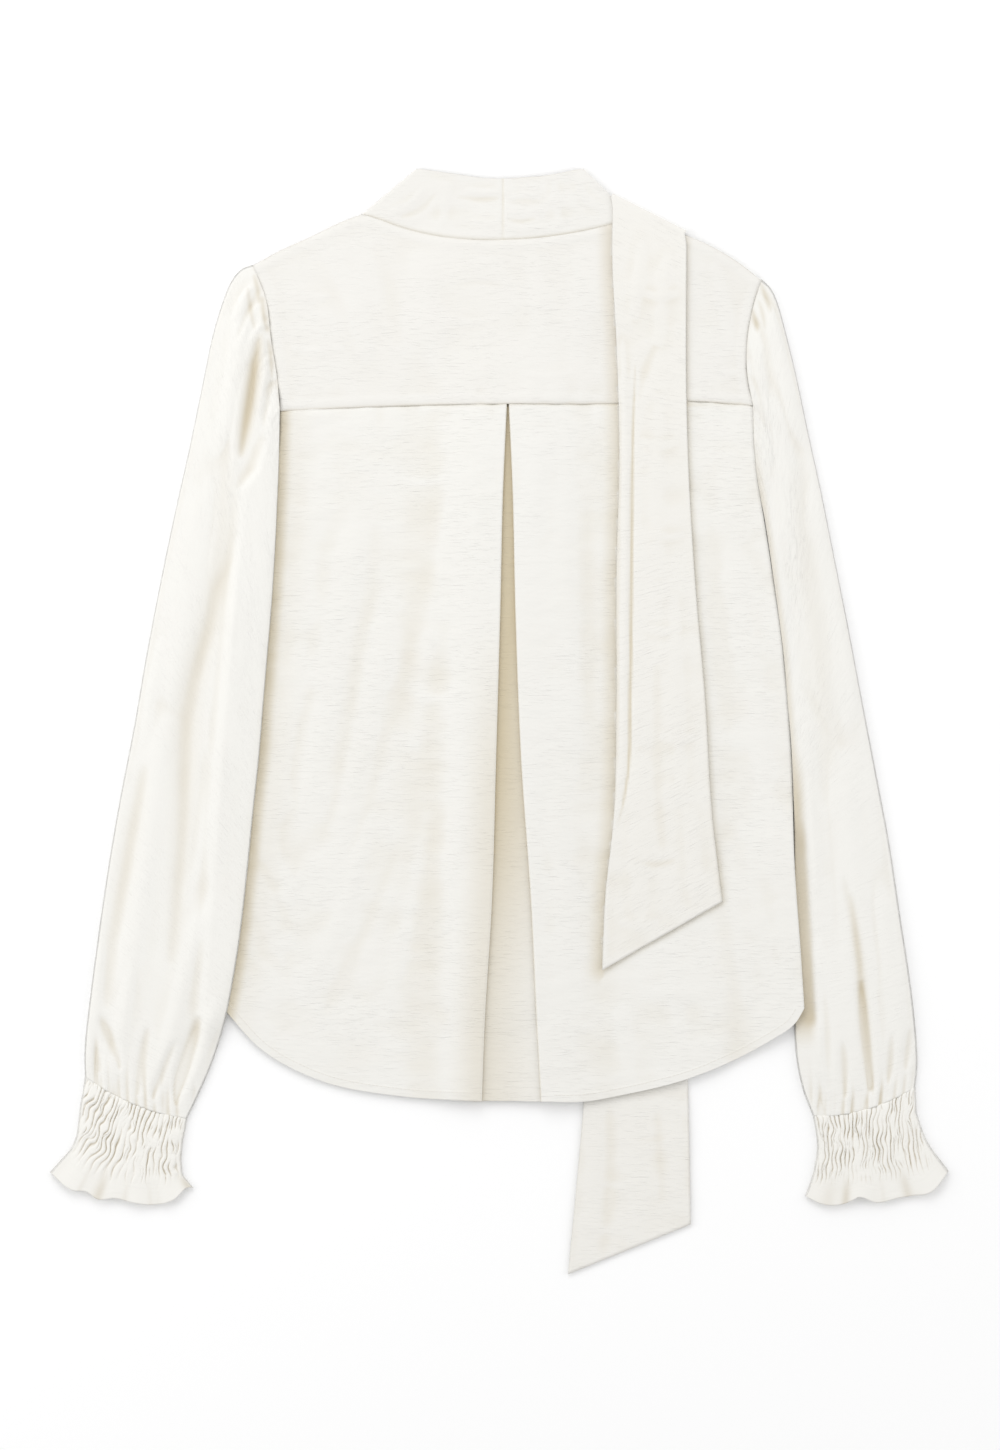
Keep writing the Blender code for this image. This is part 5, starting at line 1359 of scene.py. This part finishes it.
def add_sleeve(name, side, table, armhole, folds, lines, shades, material):
    """A sleeve from its table of sections, with the armhole's curve fading out along it."""
    value = sections(table, SLEEVE_COLUMNS, SLEEVE_RINGS)
    outer_end = np.column_stack([value["outer_x"], value["outer_y"]])
    inner_end = np.column_stack([value["inner_x"], value["inner_y"]])
    straight = line_between(outer_end, inner_end, value["sag"])
    curve = joined_curve(armhole, (20,) * len(armhole))
    fine = np.linspace(0, 1, len(curve))
    bow = curve - (curve[0] + fine[:, None] * (curve[-1] - curve[0]))
    lengths = np.hypot(*(inner_end - outer_end).T)
    down = np.concatenate([[0], np.cumsum(np.hypot(*np.diff((outer_end + inner_end) / 2, axis=0).T))])

    def plan_at(fractions):
        shift = np.stack([np.interp(fractions, fine, bow[:, k]) for k in (0, 1)], axis=-1)
        return straight(fractions) + shift * value["bow"][:, None, None]

    def rest(fractions, plan):
        if side > 0:
            return np.zeros(fractions.shape)
        line = np.array(ARMHOLE_LEFT_BACK + SIDE_LEFT[1:], float)
        edge_x = np.interp(-plan[..., 1], -line[:, 1], line[:, 0])
        over_side = fade(edge_x - plan[..., 0], 5, 16)
        below_arm = 1 - fade(-plan[..., 1], -238, -214)
        above_hem = fade(-plan[..., 1], 206, 232)
        return (2 * WALL + LAYER_GAP + TIE_REST_GAP) * over_side * below_arm * above_hem

    def plain_top(fractions, plan):
        across = np.sqrt(np.clip(4 * fractions * (1 - fractions), 0, 1))
        puff = SEAM_GAP + value["hollow"][:, None] * across
        if side > 0:
            line = np.array(SIDE_RIGHT + ((215, -240),), float)
            edge_x = np.interp(-plan[..., 1], -line[:, 1], line[:, 0])
            tucked = fade(plan[..., 0] - edge_x, 6, 14)
            tucked = tucked * (1 - fade(-plan[..., 1], 50, 90)) * fade(-plan[..., 1], 206, 226)
            puff = puff * (1 - tucked) + SEAM_GAP * tucked
        return rest(fractions, plan) + 2 * WALL + puff

    def relief(fractions, plan):
        x, y = plan[..., 0], plan[..., 1]
        height = fold_relief(x, y, folds) + 1.35 * creases(x, y, lines) + 0.3 * drift(x, y, 24, 70, 12 + side)
        height += 0.1 * drift(x, y, 9, 16, 20 + side)
        room = plain_top(fractions, plan) - rest(fractions, plan) - 2 * WALL - SEAM_GAP
        height = height * np.clip(room / 1.5, 0, 1)
        gathers = drift(fractions * lengths[:, None], down[:, None], 3.4, 60, 30 + side)
        near_cuff = fade(down[-1] - down[:, None], 0, 42)
        near_head = fade(down[:, None], 4, 44)
        height += gathers * (1.2 * near_cuff + 0.5 * near_head) * np.clip(room / 0.6, 0, 1)
        return np.maximum(height, -(room + 0.1) * 0.75)

    # Painted shade: in folds and in gathers near the cuff, at the armhole seam, along the listed troughs and,
    # on the right sleeve, as the shadow beside the body that lies over it.
    def shade(fractions, points):
        deep = 0.7 * hollow(points[..., 2], 26, 1.8)
        deep += 0.5 * hollow(points[..., 2], 3, 0.3) * fade(down[-1] - down[:, None], 6, 34)
        from_edge = np.minimum(fractions, 1 - fractions) * lengths[:, None]
        deep *= np.clip(from_edge / 5 - 0.2, 0, 1)
        deep += creases(points[..., 0], points[..., 1], shades)
        seam = 0.12 * np.exp(-((down[:, None] / 2) ** 2))
        if side < 0:
            return np.clip(deep + seam, 0, 1)
        x, y = points[..., 0], points[..., 1]
        line = np.array(ARMHOLE_RIGHT_BACK + SIDE_RIGHT[1:] + ((213, -240),), float)
        from_body = x - np.interp(-y, -line[:, 1], line[:, 0])
        upper = 0.45 * fade(from_body, 1, 7) * (1 - fade(y, -60, -10)) * fade(y, 150, 210)
        lower = 0.85 * fade(from_body, 3, 11) * fade(y, -60, -10) * fade(-y, 205, 232)
        return np.clip(deep + seam + upper + lower, 0, 1)

    return add_flat_tube(
        name, plan_at, lengths, down,
        np.linspace(0, 1, SLEEVE_TOP_POINTS), np.linspace(1, 0, SLEEVE_LOW_POINTS),
        rest, plain_top, relief, TUBE_WALL, shade, material,
    )


sleeve_cloth = make_cloth_material("sleeve_satin", (0.86, 0.85, 0.815), (0.62, 0.55, 0.42), 0.08, 0.45)
for sleeve_name, side, table, armhole, folds, lines, shades in (
    (
        "sleeve_left", -1, SLEEVE_LEFT, (ARMHOLE_LEFT_YOKE,),
        SLEEVE_LEFT_FOLDS, SLEEVE_LEFT_CREASES, SLEEVE_LEFT_SHADE,
    ),
    (
        "sleeve_right", 1, SLEEVE_RIGHT, (ARMHOLE_RIGHT_YOKE, ARMHOLE_RIGHT_BACK),
        SLEEVE_RIGHT_FOLDS, SLEEVE_RIGHT_CREASES, SLEEVE_RIGHT_SHADE,
    ),
):
    sleeve = add_sleeve(sleeve_name + "_cloth", side, table, armhole, folds, lines, shades, sleeve_cloth)
    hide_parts(sleeve_name)

# Cuffs
# Smocked cuffs: rows of fine elastic thread draw the sleeve's satin into wavy broken ridges,
# and below them the cloth is let go as a frill with a narrow edge.
CUFF_WIDTH = 76
FRILL_FULL = 1.8
CUFF_RINGS = 96
CUFF_TOP_POINTS = 190
CUFF_LOW_POINTS = 50
CUFF_COLUMNS = ("outer_x", "outer_y", "inner_x", "inner_y", "sag", "hollow", "smocking", "frill")
CUFF_LEFT = (
    (-290, -248.2, -218.5, -277.2, 5, -0.1, 0, 0),
    (-290.2, -250.2, -218.7, -279.2, 5, 1.0, 0.8, 0),
    (-291.5, -259, -220, -287, 5, 1.4, 1.0, 0),
    (-293, -267, -221.5, -294, 5, 1.6, 1.0, 0),
    (-294, -275, -222, -300, 5, 1.6, 1.0, 0),
    (-295, -283, -222.5, -306, 5, 1.6, 1.0, 0),
    (-296, -290, -222, -312, 6, 1.6, 0.9, 0),
    (-300, -299, -221.5, -317, 8, 1.4, 0.6, 0.4),
    (-307, -307, -218, -322, 11, 1.0, 0, 1.1),
    (-314.5, -315.5, -214, -327, 13, 0.6, 0, 1.8),
)
CUFF_RIGHT = (
    (291, -255.2, 219.5, -275.2, 6, -0.1, 0, 0),
    (291.2, -257.2, 219.7, -277.2, 6, 1.0, 0.8, 0),
    (291.7, -265, 221, -284, 6, 1.4, 1.0, 0),
    (292, -273, 222, -291, 6, 1.6, 1.0, 0),
    (294, -280, 222.5, -297, 6, 1.6, 1.0, 0),
    (296.5, -287, 222, -303, 6, 1.6, 1.0, 0),
    (299, -293, 221, -309, 7, 1.6, 0.9, 0),
    (304, -301, 219.5, -316, 8, 1.4, 0.6, 0.4),
    (309.5, -308, 217, -323, 11, 1.0, 0, 1.1),
    (314.5, -314.5, 214, -330, 14, 0.6, 0, 1.8),
)
SMOCKING_PITCH = 3.3
SMOCKING_ROW = 9.0


def add_cuff(name, table, seed, slant, waves, shades, edge, material):
    """A cuff from its table of sections. The smocking is cut by wandering upright gaps,
    exp(-(sin(pi u / pitch) / 0.5) ** 2), broken up by seeded unevenness. The frill has waves,
    and painted shade in its hollows, both given as places, widths and heights, and its edge is
    moved down by the table edge of places and lengths."""
    value = sections(table, CUFF_COLUMNS, CUFF_RINGS)
    outer_end = np.column_stack([value["outer_x"], value["outer_y"]])
    inner_end = np.column_stack([value["inner_x"], value["inner_y"]])
    straight = line_between(outer_end, inner_end, value["sag"])
    lengths = np.hypot(*(inner_end - outer_end).T)
    down = np.concatenate([[0], np.cumsum(np.hypot(*np.diff((outer_end + inner_end) / 2, axis=0).T))])
    edge_at, edge_down = np.array(edge, float).T
    let_go = np.clip(value["frill"], 0, None)[:, None] / FRILL_FULL

    def plan_at(fractions):
        scallop = smooth_between(edge_down[:, None], edge_at, fractions.ravel())
        shift = scallop.reshape(fractions.shape) * let_go
        return straight(fractions) - np.stack([np.zeros(shift.shape), shift], axis=-1)

    def rest(fractions, plan):
        return 0.65 * fade(down[:, None], 0.4, 1.6) + 0 * fractions

    def plain_top(fractions, plan):
        across = np.sqrt(np.clip(4 * fractions * (1 - fractions), 0, 1))
        return 2 * WALL + SEAM_GAP + value["hollow"][:, None] * across

    def relief(fractions, plan):
        v = down[:, None] + 0 * fractions
        across = fractions * CUFF_WIDTH
        u = across + slant * v * (1 - fractions) + 1.5 * drift(across, v, 6, 7, seed)
        broken = np.clip(0.55 + 0.9 * drift(u, v, SMOCKING_PITCH, SMOCKING_ROW, seed + 1), 0, 1)
        broken_short = np.clip(0.3 + 1.1 * drift(u, v, 2.4, 5, seed + 2), 0, 1)
        long_gaps = broken * np.exp(-((np.sin(np.pi * u / SMOCKING_PITCH) / 0.5) ** 2))
        aside = u + 1.2 * drift(u, v, 4, 5, seed + 4)
        short_gaps = broken_short * np.exp(-((np.sin(np.pi * aside / 2.1) / 0.5) ** 2))
        swell = 0.35 * drift(u, v, 11, 9, seed + 3)
        ends = np.clip(np.minimum(fractions, 1 - fractions) * 20, 0, 1)
        smocking = np.clip(value["smocking"], 0, None)[:, None] * (
            0.6 - 1.5 * long_gaps - 0.8 * short_gaps + swell
        )
        smocking = np.maximum(smocking, -0.75 * np.clip(value["hollow"][:, None] + 0.1, 0, 2))
        frill = np.clip(value["frill"], 0, None)[:, None] / FRILL_FULL
        lobes = sum(h * np.exp(-(((fractions - at) / width) ** 2)) for at, width, h in waves)
        flutes = 0.7 * drift(across, v, 6, 26, seed + 5)
        return (smocking + frill * (lobes + flutes)) * ends

    # Painted shade in the smocking's gaps and folds, and under the frill's lobes near its edge.
    def shade(fractions, points):
        deep = np.clip(1.1 * hollow(points[..., 2], 4, 0.6) - 0.1, 0, 1)
        deep += 0.35 * hollow(points[..., 2], 30, 1.0)
        from_edge = np.minimum(fractions, 1 - fractions) * lengths[:, None]
        under = sum(h * np.exp(-(((fractions - at) / width) ** 2)) for at, width, h in shades)
        low = fade(down[-1] - down[:, None], 2, 17)
        return np.clip(deep * np.clip(from_edge / 3, 0.2, 1) + 0.6 * under * low, 0, 1)

    return add_flat_tube(
        name, plan_at, lengths, down,
        np.linspace(0, 1, CUFF_TOP_POINTS), np.linspace(1, 0, CUFF_LOW_POINTS),
        rest, plain_top, relief, TUBE_WALL, shade, material,
    )


cuff_cloth = make_cloth_material("cuff_satin", (0.875, 0.862, 0.822), (0.57, 0.505, 0.39), 0.08, 0.25)
CUFFS = (
    (
        "cuff_left", CUFF_LEFT, 40, 0.35,
        ((0.14, 0.1, 1.6), (0.42, 0.07, 1.0), (0.62, 0.12, 1.8), (0.86, 0.08, 1.4)),
        ((0.33, 0.035, 0.75), (0.2, 0.02, 0.25), (0.52, 0.02, 0.25), (0.7, 0.02, 0.2), (0.97, 0.03, 0.8)),
        (
            (0, 0), (0.15, 4), (0.26, 1), (0.32, 3.3), (0.46, 0), (0.58, 2),
            (0.72, 3.9), (0.86, 3.2), (0.97, -2.3), (1, -0.5),
        ),
    ),
    (
        "cuff_right", CUFF_RIGHT, 50, -0.3,
        ((0.12, 0.09, 1.6), (0.42, 0.06, 0.8), (0.6, 0.09, 2.2), (0.86, 0.08, 1.2)),
        ((0.28, 0.035, 0.6), (0.72, 0.03, 0.8), (0.85, 0.05, 0.35), (0.45, 0.02, 0.2)),
        (
            (0, 0), (0.1, 6.5), (0.27, 2.4), (0.35, 0.8), (0.5, 0.5),
            (0.64, -4.1), (0.68, -1.7), (0.88, 3.7), (1, 2.1),
        ),
    ),
)
for cuff_name, table, seed, slant, waves, shades, edge in CUFFS:
    cuff = add_cuff(cuff_name + "_cloth", table, seed, slant, waves, shades, edge, cuff_cloth)
    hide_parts(cuff_name)
